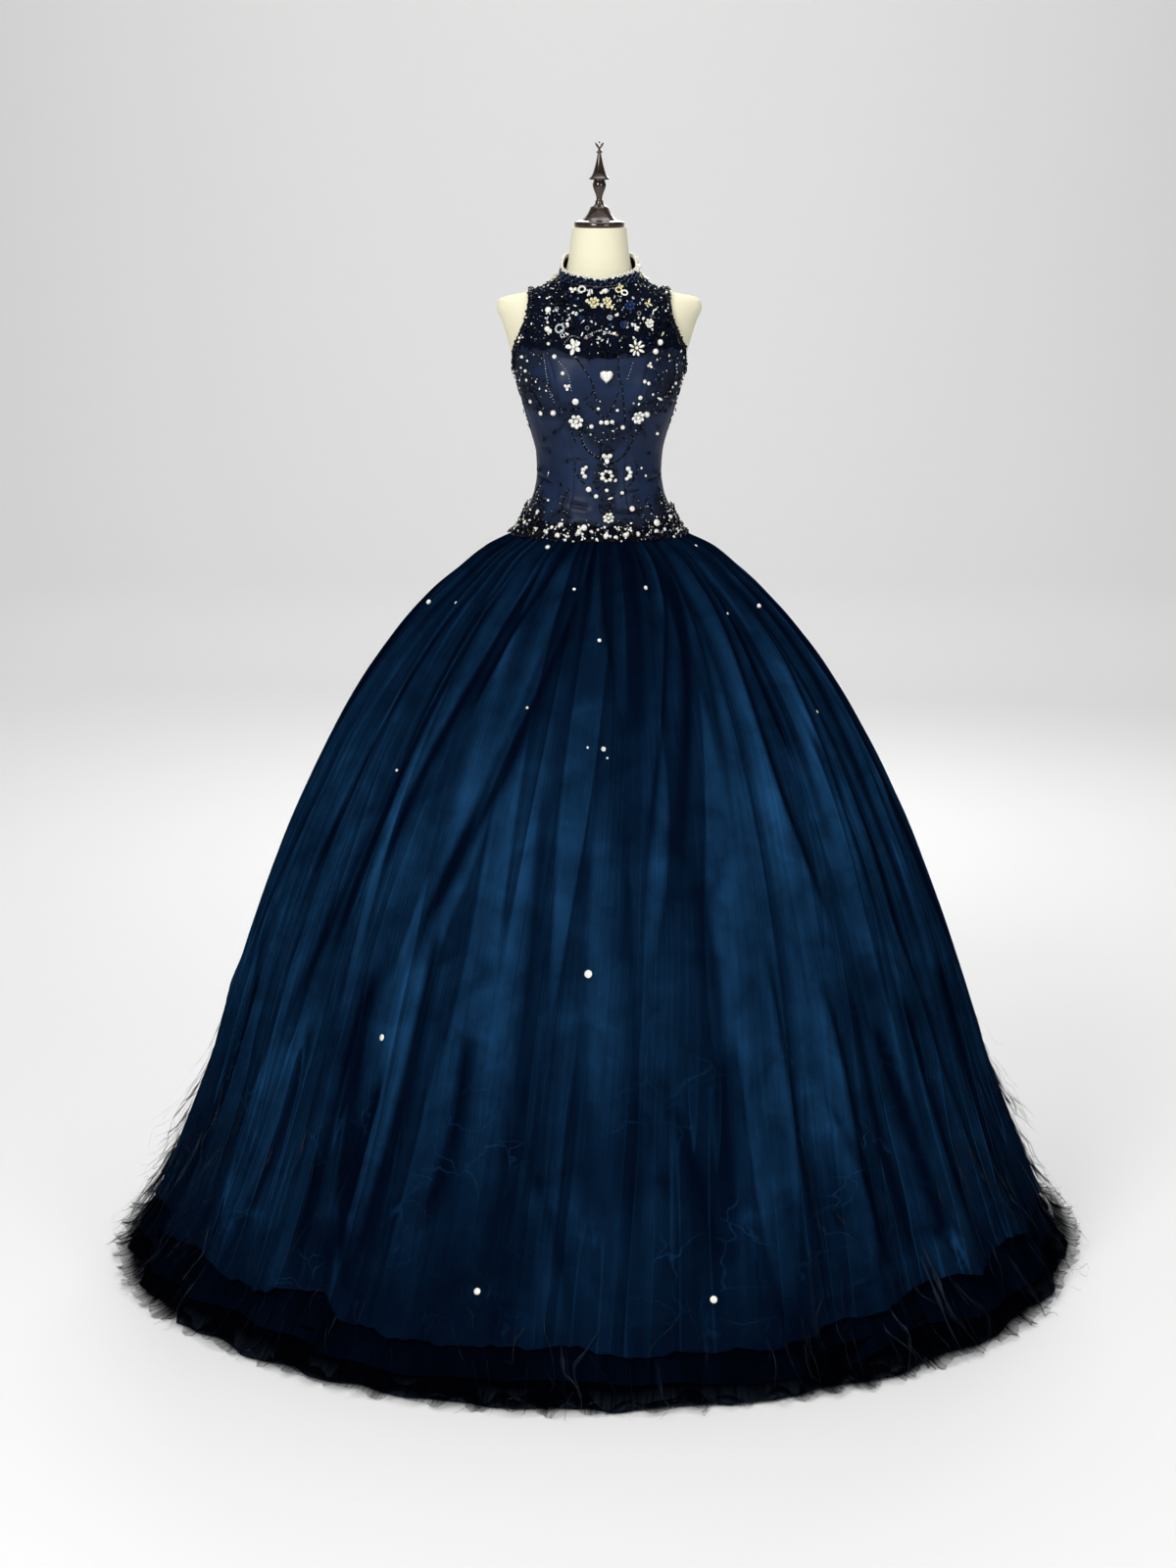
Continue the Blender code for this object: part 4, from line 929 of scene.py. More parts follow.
# Ends of each crease as angle and height, then half width and height in millimetres.
BODICE_CREASES = [
    (-27, 1.317, -8, 1.3155, 4.0, -1.8), (12, 1.306, 40, 1.309, 4.6, -2.0),
    (20, 1.34, 41, 1.342, 3.4, -1.2), (-36, 1.397, -8, 1.395, 3.4, -.8),
    (-78, 1.362, -46, 1.352, 3.6, -1.3), (48, 1.354, 80, 1.364, 3.6, -1.4),
    (-82, 1.329, -52, 1.321, 3.4, -1.2), (56, 1.318, 84, 1.33, 3.4, -1.2),
    (-44, 1.435, -26, 1.462, 4.2, -1.0), (30, 1.46, 46, 1.432, 4.2, -1.0),
    (-6, 1.425, 14, 1.421, 3.6, -.7), (-64, 1.41, -48, 1.418, 3.6, -.8),
    (96, 1.35, 128, 1.342, 3.6, -1.4), (-128, 1.34, -98, 1.352, 3.6, -1.4),
    (104, 1.32, 134, 1.324, 3.4, -1.2), (-136, 1.315, -108, 1.323, 3.4, -1.2),
    (148, 1.362, 172, 1.358, 3.4, -1.2), (-172, 1.335, -150, 1.34, 3.4, -1.2),
    (150, 1.312, 170, 1.315, 3.4, -1.0), (-122, 1.385, -100, 1.39, 3.6, -.9),
]
# Lace drawn onto the satin: angle, height, reach in degrees, reach in metres, strength.
LACE_PATCHES = [
    (0, 1.577, 46, .013, 1.0), (-52, 1.57, 18, .026, .9), (54, 1.568, 18, .028, .9),
    (-66, 1.525, 19, .048, 1.0), (66, 1.527, 18, .05, 1.0), (-46, 1.5, 17, .04, .75),
    (50, 1.508, 17, .04, .75), (-26, 1.478, 14, .018, .8), (34, 1.48, 13, .016, .8),
    (5, 1.49, 12, .018, .45), (5, 1.436, 17, .03, .8), (5, 1.404, 9, .014, .9),
    (-12, 1.452, 16, .014, .7), (24, 1.452, 16, .014, .7),
    (6, 1.364, 13, .034, .95), (7, 1.318, 8, .03, .95), (8, 1.548, 5, .03, .5),
    (-62, 1.302, 15, .034, 1.0), (66, 1.304, 15, .036, 1.0), (-33, 1.296, 12, .018, .9),
    (40, 1.298, 12, .02, .9), (-10, 1.284, 12, .01, .9), (22, 1.286, 12, .012, .9),
    (-84, 1.47, 8, .04, .8), (84, 1.476, 8, .04, .8), (-34, 1.33, 7, .02, .6),
    (34, 1.322, 6, .014, .5),
]
BACK_LACE = [(112, 1.53, 24, 0.05, 1.0), (150, 1.56, 32, 0.032, 0.9), (128, 1.3, 20, 0.028, 0.9),
             (158, 1.43, 14, 0.036, 0.7), (150, 1.49, 16, 0.03, 0.8)]
LACE_PATCHES += [(side * angle, *rest) for angle, *rest in BACK_LACE for side in (1, -1)]
print("bodice creases:", len(BODICE_CREASES), "lace patches:", len(LACE_PATCHES))

# %% [markdown]
# Seven panels follow the seams' curves, a hair's gap apart. Beside a seam the satin is pinched down
# a little, as stitches do.

# %% Bodice panels
# What a degree measures round the bodice, near enough for its maps and creases, in metres.
DEGREE_RUN = 0.0021


def segment_rise(angle, height, table):
    """Straight creases between two points, each with a soft swell on either side."""
    total = np.zeros(angle.shape)
    for a0, h0, a1, h1, width, rise in table:
        run, climb = turn_between(a1, a0) * DEGREE_RUN, h1 - h0
        length = math.hypot(run, climb)
        x, y = turn_between(angle, a0) * DEGREE_RUN, height - h0
        way = (x * run + y * climb) / length ** 2
        off = (y * run - x * climb) / length + 1.6 * MM * np.sin(way * 3.2 + a0)
        fade = smooth(way, -0.12, 0.25) * smooth(way, 1.12, 0.75)
        dip = np.exp(-(off / (width * MM)) ** 2)
        swell = np.exp(-((np.abs(off) - 2.1 * width * MM) / (1.3 * width * MM)) ** 2)
        total += rise * MM * fade * (dip - 0.45 * swell)
    return total


def lace_cover(angle, height):
    cover = np.zeros(angle.shape)
    for middle, level, reach, tall, strength in LACE_PATCHES:
        off = (turn_between(angle, middle) / reach) ** 2 + ((height - level) / tall) ** 2
        cover = np.maximum(cover, strength * smooth(off, 1.3, 0.5))
    return cover


def seam_edge(seam, side, after):
    def edge(height):
        angle = side * seam(height)
        return angle + (1 if after else -1) * arc_angle(angle, height, HALF_GAP)
    return edge


def zip_edge(side):
    """The centre back's edges leave room for the zip's teeth."""
    return lambda height: side * (180 - arc_angle(180.0 + 0 * height, height, 4.08 * MM))


def figure_map(angle, height):
    return np.stack([angle * DEGREE_RUN, height], -1)


def bodice_panel(name, left_edge, right_edge, spacing=2.8 * MM * COARSE):
    up = np.linspace(0, 1, int(0.33 / spacing))[:, None]
    level = WAIST_SEAM + (satin_top(30) - WAIST_SEAM) * up
    start, end = left_edge(level), right_edge(level)
    columns = max(int(np.max(end - start) * DEGREE_RUN / spacing), 6)
    angle = start + (end - start) * np.linspace(0, 1, columns)[None, :]
    height = WAIST_SEAM + (satin_top(np.abs(angle)) - WAIST_SEAM) * up
    from_seam = np.minimum(angle - start, end - angle) * DEGREE_RUN
    lift = EASE + SATIN_WALL - 0.45 * MM * np.exp(-(from_seam / (1.6 * MM)) ** 2)
    folds = segment_rise(angle, height, BODICE_CREASES)
    lift = lift + folds + 0.25 * MM * waves(angle, height, 21, (12, 40), (8, 25))
    # Painted shade: darker where the creases dip deeper and beside the seams.
    crease = smooth(-folds, 0.15 * MM, 1.2 * MM) \
        + 0.25 * np.exp(-(from_seam / (0.8 * MM)) ** 2)
    panel = cloth(name, on_figure(angle, height, lift), figure_map(angle, height), SATIN_WALL,
                  lace=lace_cover(angle, height), crease=np.clip(crease, 0, 1))
    return dress(panel, SATIN, "satin_navy", name)


satin_panels = [bodice_panel("bodice_front", seam_edge(princess, -1, True),
                             seam_edge(princess, 1, False))]
for label, side in (("left", 1), ("right", -1)):
    for part, near, far in (("side_front", princess, side_seam), ("side_back", side_seam, back_seam),
                            ("back", back_seam, None)):
        ends = [seam_edge(near, side, side > 0),
                seam_edge(far, side, side < 0) if far else zip_edge(side)]
        satin_panels.append(bodice_panel(f"bodice_{part}_{label}", *ends[::side]))
print("satin panels:", len(satin_panels))

# %% [markdown]
# The lace yoke runs from the satin over the shoulders to the neckline. Its rows stop where they
# meet an armhole, so the cut edge is clean, and its scalloped foot laps over the satin.

# %% Lace yoke
def yoke_height(angle, up):
    low = satin_top(np.abs(angle)) + 0.9 * MM
    return low + (neckline(np.abs(angle)) - low) * up


def armhole_turn(up, back):
    """Degrees from the centre at which each row of the yoke meets the armhole."""
    scan = np.linspace(30, 90, 241)[None, :]
    turn = 180 - scan if back else scan
    height = yoke_height(turn, up)
    over = figure_point(turn, height)[..., 0] - armhole(height)
    past = over >= 0
    first = np.maximum(np.argmax(past, axis=1), 1)
    row = np.arange(len(first))
    before, beyond = over[row, first - 1], over[row, first]
    part = np.clip(-before / np.where(beyond == before, 1, beyond - before), 0, 1)
    found = scan[0, first - 1] + part * (scan[0, 1] - scan[0, 0])
    return np.where(past.any(axis=1), found, 90.0)[:, None]


def yoke_panel(name, first, last, columns):
    up = np.linspace(0, 1, 46 // COARSE)[:, None]
    start, end = first(up), last(up)
    angle = start + (end - start) * np.linspace(0, 1, columns // COARSE)[None, :]
    scallop = MM * (4.0 + 3.0 * np.abs(np.sin(np.radians(angle * 13))) + 3 * ripple(angle, 24, 9, 40))
    height = yoke_height(angle, up) - scallop * (1 - up) ** 8
    over_satin = smooth(height, satin_top(np.abs(angle)) + 3 * MM, satin_top(np.abs(angle)) + 0.5 * MM)
    lift = EASE + LACE_WALL + 0.35 * MM * waves(angle, height, 23, (20, 60), (15, 40)) \
        + 1.4 * MM * over_satin
    panel = cloth(name, on_figure(angle, height, lift), figure_map(angle, height), LACE_WALL)
    return dress(panel, LACE_BLACK, "lace_black", name)


def front_end(up):
    turn = armhole_turn(up, False)
    return turn - arc_angle(turn, yoke_height(turn, up), HALF_GAP)


def back_end(up):
    turn = 180 - armhole_turn(up, True)
    return turn + arc_angle(turn, yoke_height(turn, up), HALF_GAP)


def beside_zip(up):
    return zip_edge(1)(yoke_height(180.0, up))


lace_panels = [yoke_panel("yoke_front", lambda up: -front_end(up), front_end, 96),
               yoke_panel("yoke_back_left", back_end, beside_zip, 44),
               yoke_panel("yoke_back_right", lambda up: -beside_zip(up), lambda up: -back_end(up), 44)]
print("lace panels:", len(lace_panels))

# %% [markdown]
# Under their beads the standing collar and the belt on the dropped waist are strips of dark cloth,
# open at the centre back.

# %% Collar and belt
def collar_point(angle, up, out=0.0):
    foot = neckline(np.abs(angle)) + 0.6 * MM
    base = figure_point(angle, foot)
    away = unit(base * np.array([1, 1, 0]))
    reach = EASE + LACE_WALL + collar_lean(np.abs(angle)) * up + 2 * MM + out
    point = base + away * reach[..., None]
    point[..., 2] = foot + collar_rise(np.abs(angle)) * up \
        + (EASE + LACE_WALL) * np.maximum(figure_normal(angle, foot)[..., 2], 0)
    return point


around = np.linspace(-179.6, 179.6, 160)[None, :]
up = np.linspace(0, 1, 7)[:, None]
around, up = np.broadcast_arrays(around, up)
collar = cloth("beaded_collar", collar_point(around, up), figure_map(around, up * 0.02), 2 * MM)
dress(collar, LACE_BLACK, "bead_black", "collar")

BELT_DROP = 3.5 * MM
crown = 0.0215 + 0.0050 * ripple(around, 25, 9, 40) \
    + 0.008 * smooth(sideways(around), 0.55, 0.95)
height = WAIST_SEAM - BELT_DROP + (BELT_DROP + crown) * up


def belt_out(height):
    """The belt flares at its foot, over the gathered edge of the skirts."""
    return MM * (7.4 + 7.5 * smooth(height, WAIST_SEAM + 7 * MM, WAIST_SEAM - 4 * MM))


belt = cloth("belt_base", on_figure(around, height, belt_out(height)),
             figure_map(around, height), 1.6 * MM)
dress(belt, LACE_BLACK, "stone_cream", "waist_belt")
print("collar and belt faces:", len(collar.data.polygons), len(belt.data.polygons))


# %% [markdown]
# Each armhole is edged with a beaded cord: a tube along the outline of satin and lace together,
# evenly spaced and softened.

# %% Armhole cords
def tube(name, points, radius, first, second):
    """A closed loop of cord; first and second lie across it at each point."""
    sides = 8
    turn = np.linspace(0, 2 * np.pi, sides, endpoint=False)
    ring = first[:, None] * np.cos(turn)[None, :, None] + second[:, None] * np.sin(turn)[None, :, None]
    grid = points[:, None] + ring * radius
    rows = len(points)
    r, c = np.meshgrid(np.arange(rows), np.arange(sides), indexing="ij")
    r1, c1 = (r + 1) % rows, (c + 1) % sides
    quads = np.stack([r * sides + c, r * sides + c1, r1 * sides + c1, r1 * sides + c], -1)
    return fill_mesh(name, grid.reshape(-1, 3), quads.ravel(), np.arange(0, rows * sides * 4, 4))


def armhole_path(side):
    """Points, normals and inward directions evenly spaced round an armhole."""
    rise = np.linspace(0, 1, 160)[:, None]
    halves = []
    for back in (False, True):
        turn = armhole_turn(rise, back)
        open_rows = turn[:, 0] < 89.9
        turn = 180 - turn if back else turn
        halves.append(np.stack([turn[open_rows, 0], yoke_height(turn, rise)[open_rows, 0]], -1))
    front, back = halves
    under = np.linspace(front[0, 0], back[0, 0], 26)[1:-1]
    top = [[90.0, float(yoke_height(90.0, rise[len(front), 0] - 0.005))]]
    loop = np.concatenate([top, front[::-1], np.stack([under, satin_top(under)], -1), back])
    ends = figure_point(loop[:, 0], loop[:, 1])
    length = np.concatenate([[0], np.cumsum(np.linalg.norm(np.roll(ends, -1, 0) - ends, axis=1))])
    wrapped = np.vstack([loop, loop[:1]])
    even = np.linspace(0, length[-1], 200, endpoint=False)
    turn, height = (np.interp(even, length, wrapped[:, i]) for i in (0, 1))
    for _ in range(4):
        turn, height = ((np.roll(v, 1) + 2 * v + np.roll(v, -1)) / 4 for v in (turn, height))
    here, normal = figure_point(side * turn, height), figure_normal(side * turn, height)
    inward = unit(np.cross(np.roll(here, -1, 0) - np.roll(here, 1, 0), normal))
    inward *= np.sign(np.sum(inward * (here.mean(0) - here), -1, keepdims=True))
    return here + inward * 4.2 * MM + normal * 4.5 * MM, normal, inward


armholes = {}
for label, side in (("left", 1), ("right", -1)):
    path, normal, inward = armhole_path(side)
    armholes[label] = (path, normal, inward)
    # The core sits back a little, so that no cream shows between it and the cloth's edge.
    core = tube(f"armhole_cord_{label}", path - 0.9 * MM * inward, 2.9 * MM, inward, normal)
    dress(core, LACE_BLACK, "bead_black", f"armhole_trim_{label}")
print("bodice pieces:", len(satin_panels) + len(lace_panels) + 4)

# %% [markdown]
# The three skirts hang in one set of folds, so they share one surface and the inner ones are set
# in from it. Their hems step and wander.

# %% Hems and insets
SLANT = run_along(skirt_curves[0](LEVELS), LEVELS)
# Hem heights by angle, in metres.
BLUE_HEM = [(-180, .08), (-164, .092), (-150, .082), (-138, .098), (-124, .086), (-108, .1),
            (-96, .088), (-82, .104), (-70, .092), (-58, .106), (-48, .09), (-40, .112),
            (-35.5, .116), (-31, .092), (-25, .08), (-21, .084), (-18, .079), (-9, .089), (-1, .084),
            (6, .076), (12, .079), (18, .074), (25.6, .078), (26.4, .088), (34, .096), (42, .106),
            (46, .112), (54, .094), (63, .11), (75, .096), (88, .108), (100, .09), (114, .102),
            (130, .084), (146, .096), (160, .078), (172, .09), (180, .08)]
NAVY_HEM = [(-180, .037), (-150, .046), (-120, .032), (-95, .048), (-66, .036), (-46, .05),
            (-24, .034), (-6, .042), (19, .03), (27, .028), (38, .052), (58, .034), (80, .048),
            (104, .034), (132, .048), (156, .032), (180, .037)]
OVERSKIRT = [("overskirt_back_right", 0, 5), ("overskirt_side_right", 5, 11),
             ("overskirt_front", 11, 15), ("overskirt_side_left", 15, 20),
             ("overskirt_back_left", 20, 24)]
INSET_LEVELS = [0, .036, .09, .2, 1.1, 1.262]
MIDSKIRT_INSET = curve(INSET_LEVELS, [.004, .008, .018, .024, .024, .008])
UNDERSKIRT_INSET = curve(INSET_LEVELS, [.008, .016, .034, .046, .046, .016])
print("from hem to waist along the slant:", round(float(SLANT[-1]), 3), "m")

# %% [markdown]
# The folds' own shading is too soft to show, so each point carries painted light and shade: dim at the
# waist, hem, sides and in troughs, lighter on the pleats, and changed by listed patches of painted
# light and shade.

# %% The organza's painted light and shade
def overskirt_rise(place, height):
    angle = skirt_angle(place, height)
    return creases(angle, height)[0] + gather_rise(place, angle, height) + fine_rise(angle, height)


def overskirt_point(place, height):
    place, height = paired(place, height)
    return skirt_point(place, height, -overskirt_rise(place, height))


# Painted shade: dimmer towards the waist and towards the hem.
tone_by_height = curve([0.08, 0.14, 0.22, 0.34, 0.46, 0.62, 0.78, 0.95, 1.08, 1.17, 1.22, 1.262],
                       [0.17, 0.29, 0.41, 0.54, 0.78, 1.04, 1.1, 0.98, 0.84, 0.72, 0.46, 0.22])


# Patches of painted light and shade: height, angle, half height (m), half width (degrees), change.
SHADE_PATCHES = [
    (.6, -31, .13, 7, .42), (.84, 35, .15, 6, .36), (.57, 0, .08, 8, .22),
    (.28, 21, .12, 6, .36), (.4, 37, .1, 5, .34), (.22, -7, .07, 6, .36),
    (.33, -29, .09, 5, .34), (.36, 7, .1, 6, -.4), (.19, -20, .09, 4, -.42),
    (.21, 32, .1, 5, -.36), (.44, -9, .07, 5, -.28), (.45, -44, .12, 5, -.4),
    (.52, 46, .12, 5, -.34), (.3, -55, .1, 6, -.3), (.15, -42, .05, 7, .34),
    (.14, 44, .05, 8, .34), (.7, 84, .14, 8, .34), (.32, 100, .1, 7, -.34),
    (.48, 124, .12, 8, .34), (.24, 148, .1, 6, -.36), (.66, 168, .14, 8, .3),
    (.3, -172, .1, 7, .34), (.46, -150, .12, 7, -.34), (.72, -124, .14, 8, .34),
    (.26, -108, .1, 6, -.34), (.44, -88, .12, 7, .34),
]


def patches(angle, height):
    """The patches of painted light and shade, with ragged outlines drawn out along the threads."""
    warp = 3.0 * waves(angle, height, 41, (30, 90), (1, 4))
    lift = 0.05 * waves(angle, height, 42, (60, 160), (0.5, 2))
    total = np.zeros(np.broadcast(angle, height).shape)
    for level, middle, tall, wide, change in SHADE_PATCHES:
        across = (turn_between(angle, middle) + warp) / wide
        total += change * np.exp(-across ** 2 - ((height - level + lift) / tall) ** 2)
    return total


def skirt_tone(place, angle, height, light):
    """Painted light and shade: how brightly the cloth's threads show."""
    trough = fold_depth(place, height) / 0.02
    # Painted shade by height, then under the waist at the front and back.
    tone = tone_by_height(height)
    middle = smooth(np.abs(np.abs(turn_between(angle, 0)) - 90), 55, 78) * smooth(height, 0.98, 1.16)
    tone = tone * (1 - 0.55 * middle)
    tone *= 1 + patches(angle, height)
    # Painted shade at the sides and in the fold troughs.
    tone *= 1 - 0.42 * smooth(sideways(angle), 0.72, 0.98)
    tone *= 1 - 0.35 * np.clip(trough, 0, 1.2)
    # Painted light on the gathered pleats and shade between them, near the waist.
    pleat = gather_rise(place, angle, height) / (8 * MM)
    tone *= 1 + 0.95 * np.clip(1.2 * pleat, -1, 1) * smooth(height, 0.9, 1.16)
    # The creases' painted light and shade, stronger towards the sides.
    light = light * (0.80 + 0.85 * smooth(sideways(angle), 0.12, 0.55))
    return np.clip(tone * (1 + np.clip(light, -1, 0.95)), 0.04, 1.8)


print("patches:", len(SHADE_PATCHES))

# %% [markdown]
# Each panel is a grid from its own hem to the waist seam. Its rows are even along the slant, so the
# turn under the waist gets enough of them.

# %% Overskirt panels
def skirt_rows(top, hem, count):
    """Heights of each row, and how far they lie along the slant."""
    share = np.linspace(0, 1, count)[:, None]
    low, high = np.interp(hem, LEVELS, SLANT), np.interp(top, LEVELS, SLANT)
    slant = low + (high - low) * share
    return np.interp(slant, SLANT, LEVELS), slant


def overskirt_panel(name, first, last):
    place = np.linspace(first, last, (last - first) * 26 // COARSE + 1)[None, :]
    step = skirt_point(place + 0.05, 0.5) - skirt_point(place - 0.05, 0.5)
    width = np.linalg.norm(step, axis=-1) / 0.1
    shift = 0.2 * HALF_GAP / width
    place[0, 0] += shift[0, 0]
    place[0, -1] -= shift[0, -1]
    hem_angle = turn_between(skirt_angle(place, 0.08), 0)
    hem = curve(*zip(*BLUE_HEM))(hem_angle) \
        + MM * (2.4 * ripple(hem_angle, 31, 30, 220) + 3.0 * ripple(hem_angle, 32, 14, 60))
    height, slant = skirt_rows(WAIST_SEAM - 0.3 * MM, hem, 132 // COARSE)
    place = np.broadcast_to(place, height.shape)
    angle = skirt_angle(place, height)
    light = creases(angle, height)[1]
    # Where the painted bright strings and their glints show: towards the sides, and low down all round.
    side = smooth(sideways(angle), 0.4, 0.85) * smooth(height, 1.1, 0.8)
    side = np.maximum(side, 0.40 * smooth(height, 0.6, 0.35))
    # The panel carries painted light and shade and a mask for painted crinkle glints.
    panel = cloth(name, overskirt_point(place, height),
                  np.stack([place * 0.131, slant], -1), 0.8 * MM,
                  tone=skirt_tone(place, angle, height, light),
                  crest=0.24 * smooth(height, 0.66, 0.3) * smooth(height, 0.06, 0.16),
                  side=side,
                  cover=1 - 0.25 * smooth(slant, 0.05, 0.0) - 0.10 * smooth(height, 0.25, 0.09))
    return dress(panel, BLUE, "organza_blue", name)


blue_panels = [overskirt_panel(*row) for row in OVERSKIRT]
print("overskirt faces:", [len(panel.data.polygons) for panel in blue_panels])


# %% [markdown]
# The navy skirt and the net are closed all round, and calmer, since only their hems show.

# %% Inner skirts
def inner_skirt(name, inset, top, hem, columns, rows, thickness):
    place = np.linspace(0, 24, columns, endpoint=False)[None, :]
    hem = hem(turn_between(skirt_angle(place, 0.04), 0))
    height, slant = skirt_rows(top, hem, rows)
    place = np.broadcast_to(place, height.shape)
    angle = skirt_angle(place, height)
    soft = 2.5 * MM * waves(angle, height, 41 + rows, (30, 90), (0.5, 3)) * smooth(height, 1.2, 0.9)
    point = skirt_point(place, height, inset(height) - soft)
    point[..., 2] = np.maximum(point[..., 2], 1.8 * MM)
    around = np.linspace(-math.pi, math.pi, columns + 1) * 0.5
    uv = np.stack(np.broadcast_arrays(around[None, :], slant[:, :1]), -1)
    full = np.ones(height.shape)
    # Even painted light and shade, no crinkle glints, and painted glints towards the hem's edge.
    return cloth(name, point, uv, thickness, closed=True, tone=full * 0.8, crest=full * 0,
                 side=full * 0.4, cover=full * 0.95, edge=smooth(height, 0.03, 0.0) * 0.4)


midskirt = inner_skirt("navy_midskirt", MIDSKIRT_INSET, 1.24, curve(*zip(*NAVY_HEM)),
                       240 // COARSE, 54, 0.8 * MM)
dress(midskirt, NAVY, "organza_navy", "midskirt")
net = inner_skirt("net_underskirt", UNDERSKIRT_INSET, 1.222,
                  lambda turn: 2.5 * MM + 2 * MM * (1 + ripple(turn, 43, 20, 90)),
                  240 // COARSE, 48, 0.8 * MM)
dress(net, NET, "net_black", "underskirt")
print("inner skirt faces:", len(midskirt.data.polygons), len(net.data.polygons))

# %% [markdown]
# Two raw net ruffles lie on the floor round the underskirt. Net has next to no thickness and both
# its sides show, so a ruffle is a single sheet, waved and torn along its foot.

# %% Net ruffles
def ruffle(name, seed, foot_radius, top_radius, top_height, count):
    columns, rows = 720 // COARSE, 9
    turn = np.linspace(-180, 180, columns, endpoint=False)[None, :]
    up = np.linspace(0, 1, rows)[:, None]
    turn, up = np.broadcast_arrays(turn, up)
    out = 1 - up
    wide = ripple(turn, seed, 3, 12)
    beat = ripple(turn, seed + 1, count // 2, count, 20)
    lift = ripple(turn, seed + 2, count // 3, count, 20)
    torn = np.random.default_rng(seed).uniform(-1, 1, (1, columns)) * (up < 0.01)
    radius = foot_radius + 11 * MM * wide + (top_radius - foot_radius) * up ** 0.8
    radius = radius + out ** 1.4 * (8 * MM * beat + 7 * MM * torn)
    height = 5 * MM + (top_height - 5 * MM) * up ** 1.6 + out * 9 * MM * (lift + 0.4) + 3 * MM * torn
    spin = np.radians(turn)
    height = np.maximum(height, 1.6 * MM)
    point = np.stack([radius * np.sin(spin), -radius * np.cos(spin), height], -1)
    around = np.linspace(-math.pi, math.pi, columns + 1) * 0.83
    uv = np.stack(np.broadcast_arrays(around[None, :], up[:, :1] * 0.07), -1)
    # The edge value paints glints along the torn foot.
    piece = cloth(name, point, uv, 0, closed=True, edge=smooth(up, 0.22, 0.0),
                  cover=0.55 + 0.35 * smooth(up, 0.1, 0.6))
    return dress(piece, NET, "net_black")


ruffles = [ruffle("net_ruffle_low", 51, 0.852, 0.806, 0.034, 120),
           ruffle("net_ruffle_high", 57, 0.828, 0.782, 0.062, 96)]
print("ruffle faces:", [len(piece.data.polygons) for piece in ruffles])


# %% [markdown]
# Torn strips and loose threads hang from the net, thickest at the sides. Hair could draw them, but
# narrow tapered ribbons, each with its own drift, curl and twist, export as they are.

# %% Torn strips and loose threads
LONGEST_REACH = 0.878


def ribbons(name, rows, seed):
    """One mesh of ribbons: angle, start height, length, width and how far each leans out."""
    steps = 17
    pick = np.random.default_rng(seed)
    points, quads, uvs, cover, edges = [], [], [], [], []
    share = np.linspace(0, 1, steps)
    for index, (turn, start, length, width, lean) in enumerate(rows):
        height = np.maximum(start - length * share * 0.93, 3.0 * MM)
        curl = share ** 2 * pick.uniform(4, 22) * MM
        spin = pick.uniform(5, 13) * share * pick.choice([-1, 1]) + turn
        drift = pick.uniform(-4, 4) * share ** 1.5 + pick.uniform(-1.2, 1.2) * np.sin(share * 5 + turn)
        angle = np.radians(turn + drift) + 1.2 * curl * np.sin(spin)
        height = np.maximum(height + curl * np.sin(spin * 1.3 + 1), 3.0 * MM)
        radius = skirt_curves[0](height) - 2 * MM + lean * share ** 1.6 + curl * np.cos(spin)
        radius = np.maximum(radius, skirt_curves[0](height) - 4 * MM)
        radius = np.minimum(radius, LONGEST_REACH)
        middle = np.stack([radius * np.sin(angle), -radius * np.cos(angle), height], -1)
        along = unit(np.gradient(middle, axis=0))
        twist = pick.uniform(-0.9, 0.9) + 1.6 * share * pick.uniform(-1, 1)
        round_ = np.stack([np.cos(angle), np.sin(angle), 0 * angle], -1)
        out = np.cross(round_, along)
        side = round_ * np.cos(twist)[:, None] + out * np.sin(twist)[:, None]
        half = width * 0.5 * (1 - 0.8 * share) * smooth(share, -0.05, 0.35) \
            * (1 + 0.5 * np.sin(share * 23 + turn))
        points += [middle - side * half[:, None], middle + side * half[:, None]]
        base = index * steps * 2
        k = np.arange(steps - 1)
        quads.append(np.stack([base + k, base + k + 1, base + k + 1 + steps, base + k + steps], -1))
        flat = np.stack([np.stack([0 * share, share * length], -1),
                         np.stack([0 * share + width, share * length], -1)]).reshape(-1, 2)
        uvs.append(flat + np.array([turn * 0.01, 0]))
        cover.append(np.tile(0.85 - 0.45 * share, 2))
        # How strongly each strip's painted glints show.
        edges.append(np.full(steps * 2, pick.uniform(0.1, 1.0)))
    corners = np.concatenate(quads).ravel()
    grid_uv = np.concatenate(uvs)[corners]
    return fill_mesh(name, np.concatenate(points).reshape(-1, 3), corners,
                     np.arange(0, len(corners), 4), grid_uv,
                     {"cover": np.concatenate(cover), "edge": np.concatenate(edges)})


pick = np.random.default_rng(61)


def around_the_sides(count, spread):
    side = pick.choice([-1, 1], count)
    return side * (84 + pick.normal(0, spread, count))


def hanging(turns, start, length, wide, lean):
    return [(turn, pick.uniform(*start), pick.uniform(*length), pick.uniform(*wide) * MM,
             pick.uniform(*lean)) for turn in turns]


strip_rows = hanging(around_the_sides(150, 22), (0.08, 0.36), (0.08, 0.22), (3, 10), (0.004, 0.045))
strip_rows += hanging(pick.uniform(-180, 180, 90), (0.06, 0.16), (0.06, 0.13), (3, 8), (0.004, 0.03))
thread_rows = hanging(around_the_sides(260, 26), (0.08, 0.42), (0.08, 0.26), (0.8, 1.7),
                      (0.002, 0.055))
thread_rows += hanging(pick.uniform(-180, 180, 160), (0.05, 0.2), (0.05, 0.16), (0.8, 1.5),
                       (0.002, 0.03))
strips = dress(ribbons("torn_net_strips", strip_rows, 62), NET, "net_black")
threads = dress(ribbons("loose_threads", thread_rows, 63), NET, "net_black")
print("strips and threads:", len(strip_rows), len(thread_rows))

